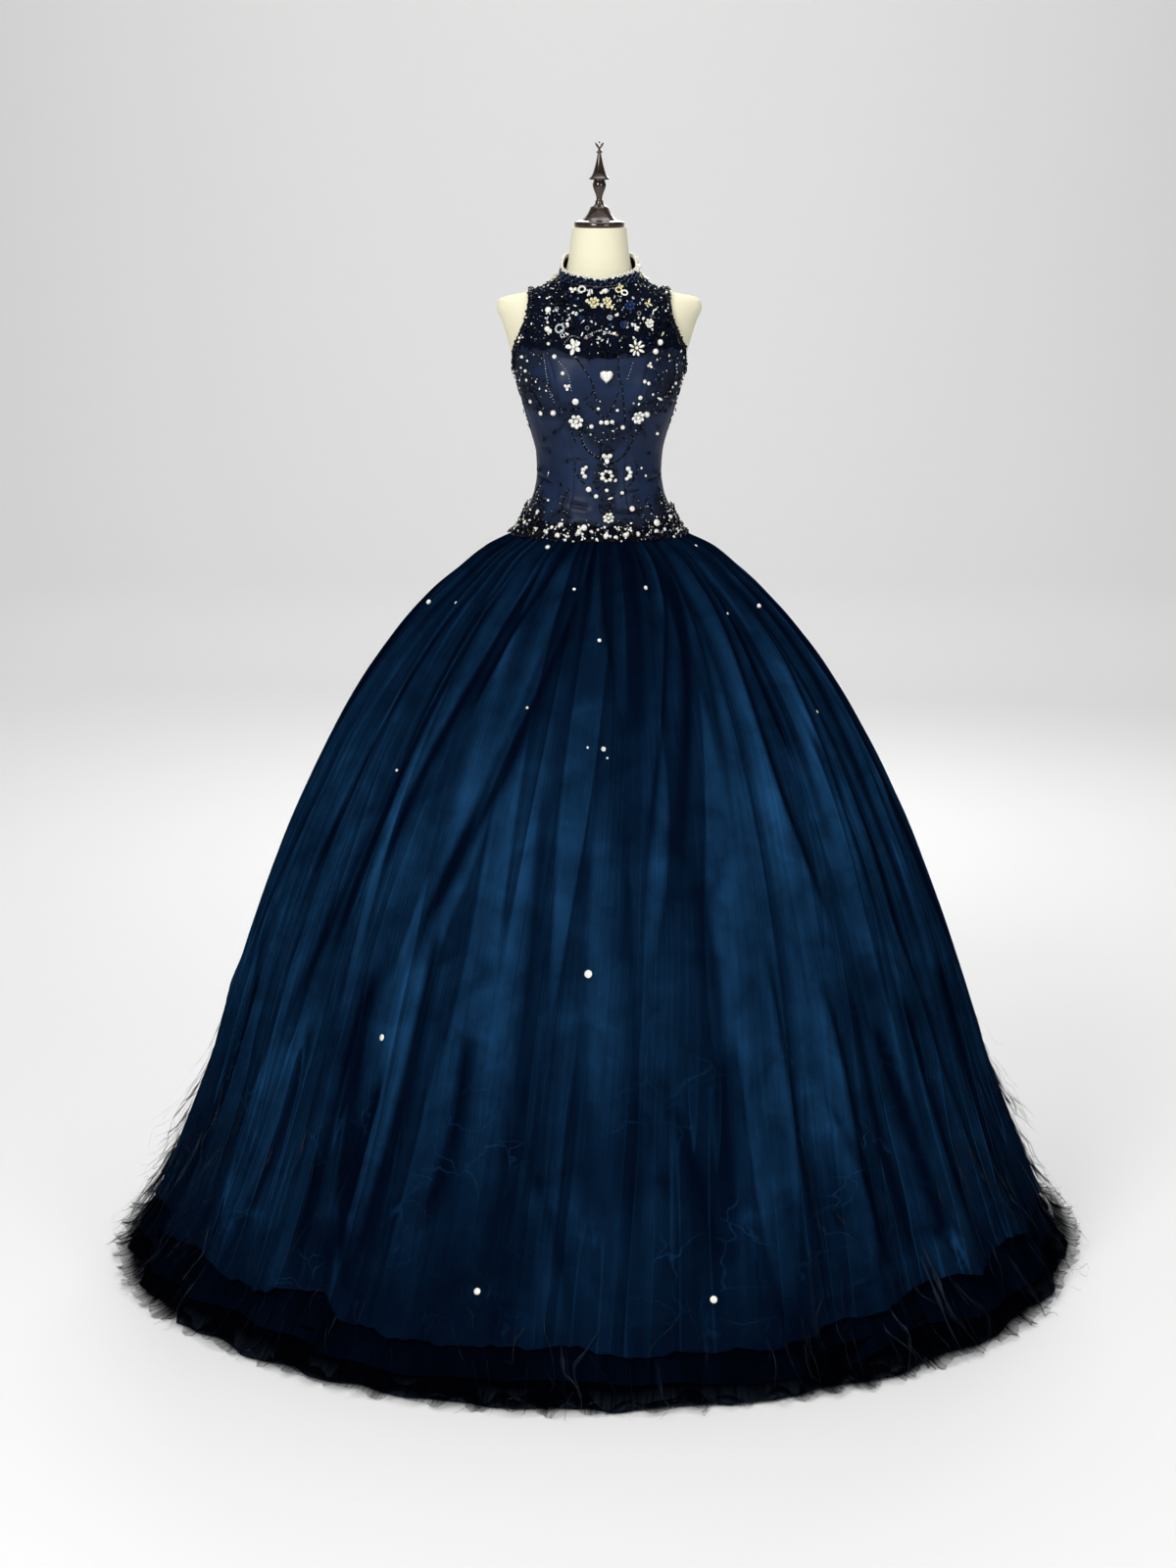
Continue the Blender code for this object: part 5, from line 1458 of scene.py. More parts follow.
# %% [markdown]
# Each kind of bead, stone and flower is modelled once, from primitives a unit across, and kept as
# arrays. Thousands of objects would slow Blender down, so a kind's copies share one mesh later.

# %% Bead shapes
def read(items, label, each=1, kind=np.int32):
    values = np.empty(len(items) * each, kind)
    items.foreach_get(label, values)
    return values


def captured(things):
    """Joins the objects, takes their mesh as arrays and removes them."""
    pick_out(*things)
    if len(things) > 1:
        bpy.ops.object.join()
    whole = bpy.context.object
    bpy.ops.object.transform_apply(location=True, rotation=True, scale=True)
    mesh = whole.data
    arrays = (read(mesh.vertices, "co", 3, float).reshape(-1, 3), read(mesh.loops, "vertex_index"),
              read(mesh.polygons, "loop_start"))
    bpy.data.objects.remove(whole, do_unlink=True)
    return arrays


def ball(place=(0, 0, 0), size=(1, 1, 1), finer=1):
    made = added(bpy.ops.mesh.primitive_ico_sphere_add, subdivisions=finer, radius=0.5, location=place)
    made.scale = size
    return made


def petal(angle, reach, long, wide, thick=0.16):
    made = added(bpy.ops.mesh.primitive_uv_sphere_add, segments=8, ring_count=5, radius=0.5,
                 rotation=(0, -0.35, angle),
                 location=(reach * math.cos(angle), reach * math.sin(angle), 0.1))
    made.scale = (long, wide, thick)
    return made


def flower(count, reach, long, wide, eye=0.26, start=0.3):
    parts = [petal(start + 2 * math.pi * k / count + 0.12 * math.sin(5 * k), reach,
                   long * (1 + 0.12 * math.sin(3 * k)), wide) for k in range(count)]
    return parts + ([ball((0, 0, 0.14), (eye, eye, eye * 0.8))] if eye else [])


def cut_stone():
    stone = added(bpy.ops.mesh.primitive_cylinder_add, vertices=8, radius=0.5, depth=0.36,
                  location=(0, 0, 0.1))
    bpy.ops.object.mode_set(mode="EDIT")
    bpy.ops.mesh.select_all(action="SELECT")
    bpy.ops.mesh.bevel(offset=0.13, segments=1)
    bpy.ops.object.mode_set(mode="OBJECT")
    return [stone]


def ring():
    return [added(bpy.ops.mesh.primitive_torus_add, major_radius=0.38, minor_radius=0.12,
                  location=(0, 0, 0.06), major_segments=14, minor_segments=6)]


def bar():
    return [added(bpy.ops.mesh.primitive_cylinder_add, vertices=6, radius=0.15, depth=1,
                  rotation=(0, math.pi / 2, 0), location=(0, 0, 0.1))]


def drop():
    return [added(bpy.ops.mesh.primitive_cone_add, vertices=8, radius1=0.24, radius2=0.03, depth=0.62,
                  rotation=(0, math.pi / 2, 0), location=(0.16, 0, 0.1)),
            ball((-0.17, 0, 0.1), (0.52, 0.5, 0.46))]


def heart():
    return [added(bpy.ops.mesh.primitive_cone_add, vertices=4, radius1=0.5, radius2=0.34, depth=0.24,
                  location=(0, 0.0, 0.12))] \
        + [ball((x, 0.2, 0.12), (0.62, 0.6, 0.3)) for x in (-0.21, 0.21)]


def pebbles(reach, turns, sizes, squeeze):
    """Flat beads in an arc or a ring."""
    return [ball((reach * math.cos(turn), reach * math.sin(turn), 0.08), (size, size * squeeze, 0.3))
            for turn, size in zip(turns, sizes)]


def crescent():
    return pebbles(0.4, (1.9, 2.6, 3.3, 4.1), (0.36, 0.44, 0.38, 0.46), 0.9)


def wreath():
    sizes = (0.36, 0.44, 0.32, 0.42, 0.46, 0.34, 0.4)
    return pebbles(0.36, [0.9 * k for k in range(len(sizes))], sizes, 0.85)


# Each shape's maker, and whether its faces are flat.
PATTERNS = {
    "seed": (lambda: [ball()], False), "round": (lambda: [ball(finer=2)], False),
    "bar": (bar, True), "drop": (drop, False), "stone": (cut_stone, True), "ring": (ring, False),
    "heart": (heart, True), "crescent": (crescent, False), "wreath": (wreath, False),
    "five": (lambda: flower(5, 0.3, 0.46, 0.3), False),
    "eight": (lambda: flower(8, 0.33, 0.4, 0.17, 0.24), False),
    "three": (lambda: flower(3, 0.26, 0.5, 0.4, 0.0, 0.6), False),
    "cluster": (lambda: flower(7, 0.32, 0.34, 0.3, 0.34), False),
    "leaf": (lambda: [petal(0.0, 0.0, 1.0, 0.36, 0.2)], False),
    "chip": (lambda: [ball((0, 0, 0.05), (1.0, 0.72, 0.45)), ball((0.22, 0.2, 0.1), (0.5, 0.5, 0.42))],
             True),
    "sprig": (lambda: [petal(0.0, 0.22, 0.5, 0.2), petal(2.0, 0.2, 0.42, 0.2),
                       petal(-2.0, 0.2, 0.42, 0.2)], False),
}
PATTERNS = {name: (captured(maker()), flat) for name, (maker, flat) in PATTERNS.items()}
FINISHES = {"jet": (JET, "bead_black"), "ink": (INK, "bead_black"), "silver": (SILVER, "stone_cream"),
            "pearl": (PEARL, "stone_cream"), "clear": (STONE, "stone_cream"),
            "gold": (GOLD, "stone_cream"), "amber": (AMBER, "stone_cream")}
print("bead patterns:", {name: len(shape[2]) for name, (shape, flat) in PATTERNS.items()})

# %% [markdown]
# A copy is a place and three axes. They are gathered as the beads are sewn on, and each kind and
# finish is then joined into one mesh.

# %% Placing and joining beads
gathered = {}


def put(kind, finish, points, normals, along, size, spin=0.0, stretch=(1, 1, 1)):
    """Adds copies of a pattern: size in metres, spin in degrees about the cloth's normal."""
    points, normals, along = (np.asarray(v, float).reshape(-1, 3) for v in (points, normals, along))
    normals = unit(normals)
    first = unit(along - normals * np.sum(along * normals, -1, keepdims=True))
    second = np.cross(normals, first)
    spin = np.radians(np.broadcast_to(spin, len(points)))[:, None]
    size = np.broadcast_to(size, len(points))[:, None]
    x_axis = first * np.cos(spin) + second * np.sin(spin)
    y_axis = np.cross(normals, x_axis)
    axes = np.stack([x_axis * size * stretch[0], y_axis * size * stretch[1],
                     normals * size * stretch[2]], -1)
    gathered.setdefault((kind, finish), []).append((points, axes))


def join_all(prefix):
    """One mesh for each kind and finish gathered so far."""
    made = []
    for (kind, finish), batches in gathered.items():
        (points, corners, starts), flat = PATTERNS[kind]
        places = np.concatenate([p for p, _ in batches])
        axes = np.concatenate([a for _, a in batches])
        count = len(places)
        spread = np.einsum("kij,nj->kni", axes, points) + places[:, None]
        all_corners = corners[None] + (np.arange(count) * len(points))[:, None]
        all_starts = starts[None] + (np.arange(count) * len(corners))[:, None]
        mesh = fill_mesh(f"{prefix}_{kind}_{finish}", spread.reshape(-1, 3), all_corners.ravel(),
                         all_starts.ravel(), sharp=flat)
        made.append(dress(mesh, *FINISHES[finish]))
    gathered.clear()
    return made


def shared_out(share, table):
    """Splits beads by a random share: each row has kind, finish, smallest, largest and its end."""
    start = 0.0
    for kind, finish, small, large, end in table:
        yield kind, finish, small, large, (share >= start) & (share < end)
        start = end


print("finishes:", list(FINISHES))

# %% [markdown]
# Embroidery is planned flat, so beads on the bodice are placed in millimetres across and metres up,
# then laid on the cloth.

# %% Sewing on the bodice
SATIN_TOP_LIFT, LACE_TOP_LIFT = EASE + SATIN_WALL, EASE + LACE_WALL


def front_angle(x, height):
    reach = np.clip(np.asarray(x, float) * MM / figure_curves[0](height), -0.995, 0.995)
    return np.degrees(np.arcsin(reach))


def cloth_lift(angle, height):
    return np.where(height < satin_top(np.abs(turn_between(angle, 0))), SATIN_TOP_LIFT, LACE_TOP_LIFT)


def on_cloth(angle, height, above=0.0):
    angle, height = paired(angle, height)
    normal = figure_normal(angle, height)
    point = figure_point(angle, height) + normal * (cloth_lift(angle, height) + above)[..., None]
    return point, normal, degree_along(angle, height)


def sew(kind, finish, angle, height, size, spin=0.0, above=0.0):
    size = np.asarray(size, float) * MM
    point, normal, along = on_cloth(angle, height, above + size * 0.18)
    put(kind, finish, point, normal, along, size, spin)


def string_points(path, spacing):
    """Evenly spaced angles and heights along a smooth line through (mm across, metres up)."""
    path = np.array(path, float)
    along = run_along(path[:, 0] * MM, path[:, 1])
    even = np.arange(0, along[-1], spacing * MM)
    x, height = (curve(along, path[:, i])(even) for i in (0, 1))
    heading = np.degrees(np.arctan2(np.gradient(height), np.gradient(x * MM) + 1e-9))
    return front_angle(x, height), height, heading


print("mm off the form:", round(SATIN_TOP_LIFT / MM, 1), "satin,", round(LACE_TOP_LIFT / MM, 1), "lace")

# %% [markdown]
# The ornaments are listed one by one: flowers, rings, a heart-shaped group, crescents and wreaths,
# and the vines of beads between them.

# %% Front ornaments and vines
# Kind and finish, then each one's mm across, height, mm size and turn from level.
SINGLES = {
    "heart clear": [(12, 1.536, 23)],
    "five clear": [(-41, 1.584, 27, 20)],
    "eight clear": [(59, 1.582, 28)],
    "round amber": [(59, 1.583, 6)],
    "cluster gold": [(-9, 1.653, 21, 10), (13, 1.655, 17, 40)],
    "three gold": [(17, 1.648, 15, 60), (33, 1.68, 12, 70), (-72, 1.69, 16, 20)],
    "ring pearl": [(-28, 1.674, 15), (41, 1.668, 13)],
    "three pearl": [(-43, 1.671, 15), (-53, 1.52, 13), (81, 1.553, 12, 40)],
    "leaf pearl": [(-18, 1.667, 10, 60), (-12, 1.671, 9, 100), (-83, 1.605, 8, -60),
        (-52, 1.618, 9, -40), (-98, 1.684, 10, 10), (61, 1.693, 10, 30), (91, 1.642, 9, 20),
        (96, 1.499, 12, -20), (18, 1.33, 10, 20)],
    "round pearl": [(10, 1.6726, 9), (99, 1.591, 10), (-85, 1.612, 10), (60, 1.7, 8),
        (-73, 1.568, 8), (-60, 1.541, 7), (-74, 1.477, 10), (-120, 1.543, 6), (-126, 1.566, 6),
        (-83, 1.589, 6), (99, 1.59, 9), (91, 1.576, 10), (124, 1.522, 6), (76, 1.474, 11),
        (-13, 1.454, 8), (38, 1.4525, 8), (94, 1.4377, 6)],
    "ring gold": [(31, 1.673, 13), (81, 1.619, 11), (-72, 1.69, 11)],
    "sprig gold": [(80, 1.651, 20, 70)],
    "cluster pearl": [(81, 1.621, 17)],
    "three clear": [(60, 1.614, 11, -30), (12, 1.401, 21)],
    "leaf gold": [(103, 1.604, 9, 60)],
    "ring silver": [(-64, 1.612, 18, -25), (-70, 1.644, 8), (-80, 1.69, 10), (90, 1.688, 15),
        (65, 1.637, 8), (-20, 1.614, 8)],
    "stone pearl": [(-84, 1.642, 11, 15), (-40, 1.497, 12, 20), (-94, 1.474, 9), (66, 1.503, 8),
        (-37, 1.465, 9), (61, 1.472, 9), (12, 1.461, 9), (-17, 1.3456, 10), (37, 1.339, 7),
        (53, 1.311, 10)],
    "stone gold": [(-90, 1.688, 9)],
    "five gold": [(73, 1.697, 18)],
    "leaf silver": [(-27, 1.624, 10, 35)],
    "cluster silver": [(17, 1.63, 11)],
    "cluster ink": [(39, 1.619, 14), (50, 1.648, 20)],
    "stone silver": [(-38, 1.636, 8, 30)],
    "stone clear": [(-111, 1.492, 8), (-118, 1.528, 6), (-117, 1.56, 5), (73, 1.528, 7),
        (79, 1.525, 7), (86, 1.507, 5), (119, 1.516, 5), (113, 1.569, 5), (3, 1.461, 8),
        (21, 1.462, 8), (-2, 1.484, 6), (30, 1.482, 6), (-5, 1.334, 8), (12, 1.344, 7),
        (-83, 1.3226, 5), (68, 1.38, 5), (75, 1.3655, 5)],
    "round silver": [(56, 1.494, 5), (126, 1.553, 5), (126, 1.541, 5), (-14, 1.44, 5),
        (12, 1.401, 6)],
    "cluster clear": [(-37, 1.465, 27), (61, 1.472, 25, 15)],
    "wreath clear": [(12, 1.369, 23), (15, 1.297, 19, 10)],
    "round jet": [(12, 1.369, 8)],
    "crescent clear": [(-18, 1.376, 22), (40, 1.373, 24, 180)],
    "chip clear": [(26, 1.36, 8, 30), (15, 1.297, 9, 10)],
    "bar silver": [(-81, 1.3686, 9, 80)],
    "drop jet": [(-89, 1.4295, 10, 80), (-73, 1.444, 10, 60), (-52, 1.393, 9, 110),
        (107, 1.477, 10, 70), (98, 1.479, 9, 100), (97, 1.449, 11, 90), (94, 1.3686, 15, 95),
        (-95, 1.376, 16, 85), (-62, 1.352, 9, 100), (80, 1.405, 9, 75), (-80, 1.408, 9, 95)],
}
# Finish, mm size, mm spacing, then a path of mm across and height.
STRINGS = [
    ("jet", 2.6, 3.0, [(-40, 1.569), (-28, 1.553), (-10, 1.517), (-27, 1.497)]),
    ("jet", 2.4, 2.9, [(-9, 1.513), (-5, 1.498)]),
    ("jet", 2.6, 3.0, [(30, 1.571), (33, 1.533), (38, 1.52), (42, 1.467)]),
    ("silver", 2.0, 5.2, [(47, 1.533), (55, 1.558)]),
    ("jet", 2.6, 3.0, [(-20, 1.492), (9, 1.469), (32, 1.51)]),
    ("silver", 2.0, 4.6, [(-91, 1.571), (-81, 1.515), (-73, 1.495)]),
    ("silver", 2.0, 4.6, [(-66, 1.56), (-52, 1.54), (-46, 1.512)]),
    ("jet", 3.0, 3.4, [(-117, 1.518), (-105, 1.502), (-91, 1.479)]),
    ("jet", 2.6, 3.0, [(-65, 1.485), (-48, 1.482), (-30, 1.487)]),
    ("jet", 3.0, 3.4, [(71, 1.489), (96, 1.498), (114, 1.513), (124, 1.54), (122, 1.562)]),
    ("jet", 2.4, 2.9, [(86, 1.549), (94, 1.54), (98, 1.527)]),
    ("jet", 2.8, 3.1, [(-32, 1.448), (-28, 1.428), (-18, 1.411), (0, 1.398), (19, 1.39),
                       (37, 1.401), (48, 1.416), (55, 1.434), (45, 1.446)]),
    ("silver", 1.8, 6.0, [(-30, 1.446), (-26, 1.428), (-16, 1.412), (2, 1.4), (19, 1.393)]),
    ("jet", 2.4, 2.9, [(22, 1.444), (35, 1.436), (46, 1.428)]),
    ("jet", 2.6, 3.0, [(-46, 1.448), (-43, 1.436), (-38, 1.425)]),
    ("jet", 2.6, 3.0, [(71, 1.454), (67, 1.446), (60, 1.438)]),
    ("jet", 3.2, 3.4, [(16, 1.326), (17, 1.315), (16, 1.303)]),
    ("silver", 2.4, 3.6, [(10, 1.392), (12, 1.384)]),
    ("jet", 2.8, 3.1, [(-50, 1.344), (-57, 1.33), (-61, 1.314), (-52, 1.298)]),
    ("jet", 2.8, 3.1, [(81, 1.331), (76, 1.321), (86, 1.312), (85, 1.3)]),
    ("jet", 3.6, 3.6, [(-92, 1.354), (-100, 1.34), (-106, 1.322), (-112, 1.306), (-118, 1.292)]),
    ("silver", 2.8, 5.8, [(-94, 1.35), (-102, 1.33), (-110, 1.306), (-116, 1.292)]),
    ("jet", 3.6, 3.6, [(96, 1.342), (104, 1.326), (110, 1.312), (118, 1.296)]),
    ("silver", 2.8, 5.8, [(98, 1.338), (106, 1.32), (114, 1.3)]),
    ("jet", 2.4, 3.0, [(-36, 1.398), (-40, 1.382), (-32, 1.364), (-22, 1.352), (-12, 1.334)]),
    ("jet", 2.4, 3.0, [(60, 1.392), (62, 1.376), (54, 1.358), (44, 1.346), (34, 1.33)]),
    ("clear", 2.6, 4.0, [(-20, 1.598), (-12, 1.607), (2, 1.61), (16, 1.606), (28, 1.603)]),
    ("silver", 2.4, 3.4, [(-56, 1.592), (-44, 1.602), (-30, 1.598)]),
]
print("single ornaments:", sum(map(len, SINGLES.values())), "strings:", len(STRINGS))

# %% [markdown]
# Strings of seed beads follow smooth lines through their points. Dark ones get a glint of silver
# and blue beside them, and small pieces are scattered between, as in hand beading.

# %% Embroidery on the bodice front
for label, rows in SINGLES.items():
    for x, height, size, *spin in rows:
        sew(*label.split(), front_angle(x, height), height, size, *spin)
for x, level in ((-21, 1.598), (29, 1.603)):
    sew("round", "amber", front_angle(x, level), level, 4.5)
pick = np.random.default_rng(71)
for kind, finish, count in (("chip", "pearl", 16), ("three", "silver", 9), ("chip", "silver", 18),
                            ("ring", "silver", 6), ("leaf", "pearl", 10), ("cluster", "ink", 5)):
    x, level = pick.uniform(-88, 88, count), pick.uniform(1.592, 1.676, count)
    sew(kind, finish, front_angle(x * (1 - 3.0 * np.maximum(level - 1.655, 0) * 10), level), level,
        pick.uniform(4.5, 9.0, count), pick.uniform(0, 360, count))
for finish, size, spacing, path in STRINGS:
    angle, height, heading = string_points(path, spacing)
    jitter = size * pick.uniform(0.85, 1.15, len(angle))
    dark = finish == "jet"
    sew("seed", finish, angle, height, jitter * (1.3 if dark else 1.1), heading)
    if dark:
        sew("seed", "silver", angle[1::4], height[1::4] + 0.4 * MM, 1.7, above=1.4 * MM)
        sew("seed", "ink", angle[3::5], height[3::5] - 0.5 * MM, 2.0, above=1.0 * MM)
print("beads and stones on the front:", sum(len(places) for batches in gathered.values()
                                            for places, _ in batches))

# %% [markdown]
# The same vines go on round the sides and the back, in looser form, and each side mirrors the
# other as a pattern cut on the fold would.

# %% Embroidery on the sides and back
# Finish, mm size, mm spacing, then a path of angle and height.
SIDE_STRINGS = [
    ("jet", 2.8, 3.2, [(84, 1.52), (92, 1.5), (104, 1.494), (116, 1.506), (124, 1.53)]),
    ("silver", 2.0, 4.8, [(88, 1.512), (98, 1.5), (110, 1.504), (119, 1.522)]),
    ("jet", 2.6, 3.1, [(122, 1.56), (136, 1.53), (148, 1.5), (158, 1.462), (154, 1.438)]),
    ("jet", 2.6, 3.1, [(138, 1.572), (150, 1.545), (163, 1.524), (170, 1.496)]),
    ("jet", 2.8, 3.2, [(96, 1.292), (104, 1.312), (102, 1.334), (110, 1.35)]),
    ("jet", 2.8, 3.2, [(130, 1.292), (136, 1.308), (132, 1.326), (139, 1.338)]),
    ("jet", 2.8, 3.2, [(160, 1.292), (164, 1.312), (158, 1.33), (163, 1.346)]),
    ("silver", 2.2, 5.0, [(118, 1.292), (121, 1.306), (116, 1.316)]),
    ("jet", 3.2, 3.2, [(118, 1.587), (136, 1.584), (156, 1.582), (173, 1.584)]),
]
# Kind, finish, angle, height, mm size.
SIDE_SINGLES = [
    ("cluster", "clear", 112, 1.482, 22), ("stone", "pearl", 112, 1.482, 8),
    ("five", "clear", 150, 1.586, 24), ("round", "pearl", 98, 1.516, 8),
    ("stone", "pearl", 128, 1.536, 9), ("three", "pearl", 142, 1.512, 12),
    ("stone", "clear", 156, 1.476, 8), ("cluster", "clear", 162, 1.452, 20),
    ("round", "pearl", 168, 1.5, 8), ("drop", "jet", 104, 1.44, 10),
    ("drop", "jet", 128, 1.452, 10), ("drop", "jet", 140, 1.402, 9),
    ("drop", "jet", 112, 1.392, 12), ("stone", "clear", 134, 1.35, 6),
    ("stone", "clear", 104, 1.364, 6), ("round", "pearl", 160, 1.358, 7),
    ("stone", "pearl", 148, 1.318, 9), ("cluster", "gold", 160, 1.65, 16),
    ("ring", "silver", 148, 1.628, 12), ("three", "pearl", 164, 1.61, 13),
    ("ring", "gold", 130, 1.69, 13), ("leaf", "pearl", 118, 1.694, 10),
    ("stone", "pearl", 140, 1.664, 9), ("round", "pearl", 168, 1.672, 8),
]
for side in (-1, 1):
    for finish, size, spacing, path in SIDE_STRINGS:
        turn, level = (np.array(v, float) for v in zip(*path))
        length = run_along(turn * 2.1, level * 1000)
        even = np.arange(0, length[-1], spacing)
        shift = 1.5 if side > 0 else 0.0
        sew("seed", finish, side * (curve(length, turn)(even) - shift), curve(length, level)(even),
            size * pick.uniform(0.85, 1.15, len(even)))
    for kind, finish, turn, level, size in SIDE_SINGLES:
        sew(kind, finish, side * turn, level, size, pick.uniform(0, 360))
print("side strings and singles:", len(SIDE_STRINGS), len(SIDE_SINGLES))

# %% [markdown]
# Small stones and beads are strewn over the lace. Random places are tried with a fixed seed, and
# those on bare satin, in the armholes or on the zip are dropped.

# %% Strewn beads
STREWN = [("seed", "jet", 2.2, 4.2, 0.4), ("seed", "silver", 1.4, 2.6, 0.57),
          ("chip", "clear", 2.6, 6.0, 0.64), ("seed", "ink", 1.8, 3.2, 0.77),
          ("seed", "pearl", 1.6, 3.2, 0.82), ("leaf", "silver", 3.0, 6.0, 0.85),
          ("leaf", "jet", 5.0, 10.0, 1.0)]
YOKE_TRIES, SATIN_TRIES = 4200, 6000


def strew(angle, height):
    share = pick.uniform(0, 1, len(angle))
    for kind, finish, small, large, chosen in shared_out(share, STREWN):
        size = pick.uniform(small, large, chosen.sum())
        sew(kind, finish, angle[chosen], height[chosen], size, pick.uniform(0, 360, chosen.sum()))
    return len(angle)


def clear_of_zip(angle):
    return np.abs(turn_between(angle, 180)) > 3.5


angle = pick.uniform(-180, 180, YOKE_TRIES)
up = pick.uniform(0.01, 0.985, YOKE_TRIES)
height = yoke_height(angle, up)
inside = np.abs(figure_point(angle, height)[:, 0]) < armhole(height) - 3 * MM
front_weight = np.where(np.abs(angle) < 90, 1.0, 0.62)
keep = inside & clear_of_zip(angle) & (pick.uniform(0, 1, YOKE_TRIES) < front_weight * 0.62)
yoke_count = strew(angle[keep], height[keep])
angle = pick.uniform(-180, 180, SATIN_TRIES)
height = pick.uniform(1.292, 1.585, SATIN_TRIES)
keep = (height < satin_top(np.abs(angle)) - 2 * MM) & clear_of_zip(angle)
keep &= pick.uniform(0, 1, SATIN_TRIES) < 0.50 * lace_cover(angle, height) ** 1.6
print("strewn beads:", yoke_count, strew(angle[keep], height[keep]))

# %% [markdown]
# The belt is packed with small dark and silver beads, with big cream stones among them. It stands
# higher at the sides, where the beads climb onto the bodice.

# %% Belt beads
def on_belt(kind, finish, angle, height, size, above=0.0, spin=0.0):
    size = np.asarray(size, float) * MM
    point = on_figure(angle, height, belt_out(height) + above + size * 0.25)
    put(kind, finish, point, figure_normal(angle, height), degree_along(angle, height), size, spin)


BELT_MIX = [("seed", "jet", 3.0, 5.2, .56), ("seed", "silver", 2.0, 3.4, .7),
            ("seed", "ink", 2.4, 3.4, .78), ("stone", "clear", 3.0, 6.0, .84),
            ("seed", "pearl", 2.4, 4.2, .88), ("leaf", "jet", 6.0, 11.0, .97),
            ("leaf", "silver", 5.0, 8.0, 1)]
count = 1500
angle = pick.uniform(-178, 178, count)
side_rise = 0.022 * smooth(sideways(angle), 0.55, 0.95)
side_rise += 0.006 * ripple(angle, 25, 9, 40)
height = 1.2570 + pick.uniform(0, 1, count) ** 1.25 * (0.029 + side_rise)
share = pick.uniform(0, 1, count)
for kind, finish, small, large, chosen in shared_out(share, BELT_MIX):
    on_belt(kind, finish, angle[chosen], height[chosen], pick.uniform(small, large, chosen.sum()),
            pick.uniform(0, 2.0 * MM, chosen.sum()), pick.uniform(0, 360, chosen.sum()))
# Millimetres across, height, mm size.
BELT_STONES = [
    (-24, 1.2807, 10), (-33, 1.2716, 11), (-25, 1.263, 9), (-84, 1.27, 9), (-66, 1.266, 10),
    (-61, 1.284, 12), (-100, 1.273, 8), (-4, 1.261, 8), (11, 1.2667, 11), (42, 1.268, 11),
    (49, 1.2766, 9), (62, 1.268, 9), (90, 1.284, 12), (91, 1.271, 9), (124, 1.266, 9),
    (-97, 1.301, 9), (-118, 1.28, 8), (112, 1.29, 8), (-50, 1.264, 8), (75, 1.264, 8),
    (26, 1.264, 8), (-12, 1.274, 7), (30, 1.279, 7), (-75, 1.279, 7), (104, 1.272, 7),
]
for index, (x, level, size) in enumerate(BELT_STONES):
    on_belt(("stone", "chip", "three", "chip")[index % 4], ("pearl", "clear")[index % 2],
            front_angle(x, level), level, size * pick.uniform(0.95, 1.25), 1.5 * MM, 40.0 * index)
for turn in np.concatenate([np.arange(96, 177, 6.5), np.arange(-176, -95, 6.5)]):
    on_belt(("stone", "round")[int(abs(turn)) % 2], "pearl", turn + pick.uniform(-2, 2),
            WAIST_SEAM + pick.uniform(0.004, 0.022), pick.uniform(7, 11), 1.5 * MM)
print("small belt beads:", count, "stones:", len(BELT_STONES))

# %% [markdown]
# The armhole cords are covered with round and seed beads, thrown round the cord's outer half.

# %% Armhole beads
ARMHOLE_MIX = [("round", "jet", 3.2, 5.8, .3), ("seed", "jet", 2.4, 4.0, .7),
               ("seed", "silver", 2.0, 3.2, .8), ("seed", "ink", 2.2, 3.4, .86),
               ("stone", "clear", 3.0, 5.0, .92), ("round", "pearl", 3.0, 6.0, .95),
               ("leaf", "jet", 6.0, 10.0, 1)]
for label, (path, normal, inward) in armholes.items():
    count = 640
    where = pick.uniform(0, len(path), count)
    low = where.astype(int) % len(path)
    spread_in, spread_up = pick.uniform(-5.0, 1.5, count), pick.uniform(-0.5, 2.2, count)
    points = path[low] + inward[low] * spread_in[:, None] * MM + normal[low] * spread_up[:, None] * MM
    along = path[(low + 1) % len(path)] - path[low]
    points += along * (where % 1)[:, None]
    share = pick.uniform(0, 1, count)
    for kind, finish, small, large, chosen in shared_out(share, ARMHOLE_MIX):
        put(kind, finish, points[chosen], normal[low[chosen]] - inward[low[chosen]] * 0.3,
            along[chosen], pick.uniform(small, large, chosen.sum()) * MM,
            pick.uniform(0, 360, chosen.sum()))
print("armhole beads a side:", count)


# %% [markdown]
# The collar has six even rows of dark and blue seeds with silver between them, then a rim of pearls
# and rings.

# %% Collar beads
def on_collar(kind, finish, angle, up, size, out=0.0, spin=0.0):
    angle, up = paired(angle, up)
    size = np.asarray(size, float) * MM
    point = collar_point(angle, up, out + size * 0.25)
    away = unit(point * np.array([1, 1, 0]))
    along = collar_point(angle + 1, up) - collar_point(angle - 1, up)
    put(kind, finish, point, away, along, size, spin)


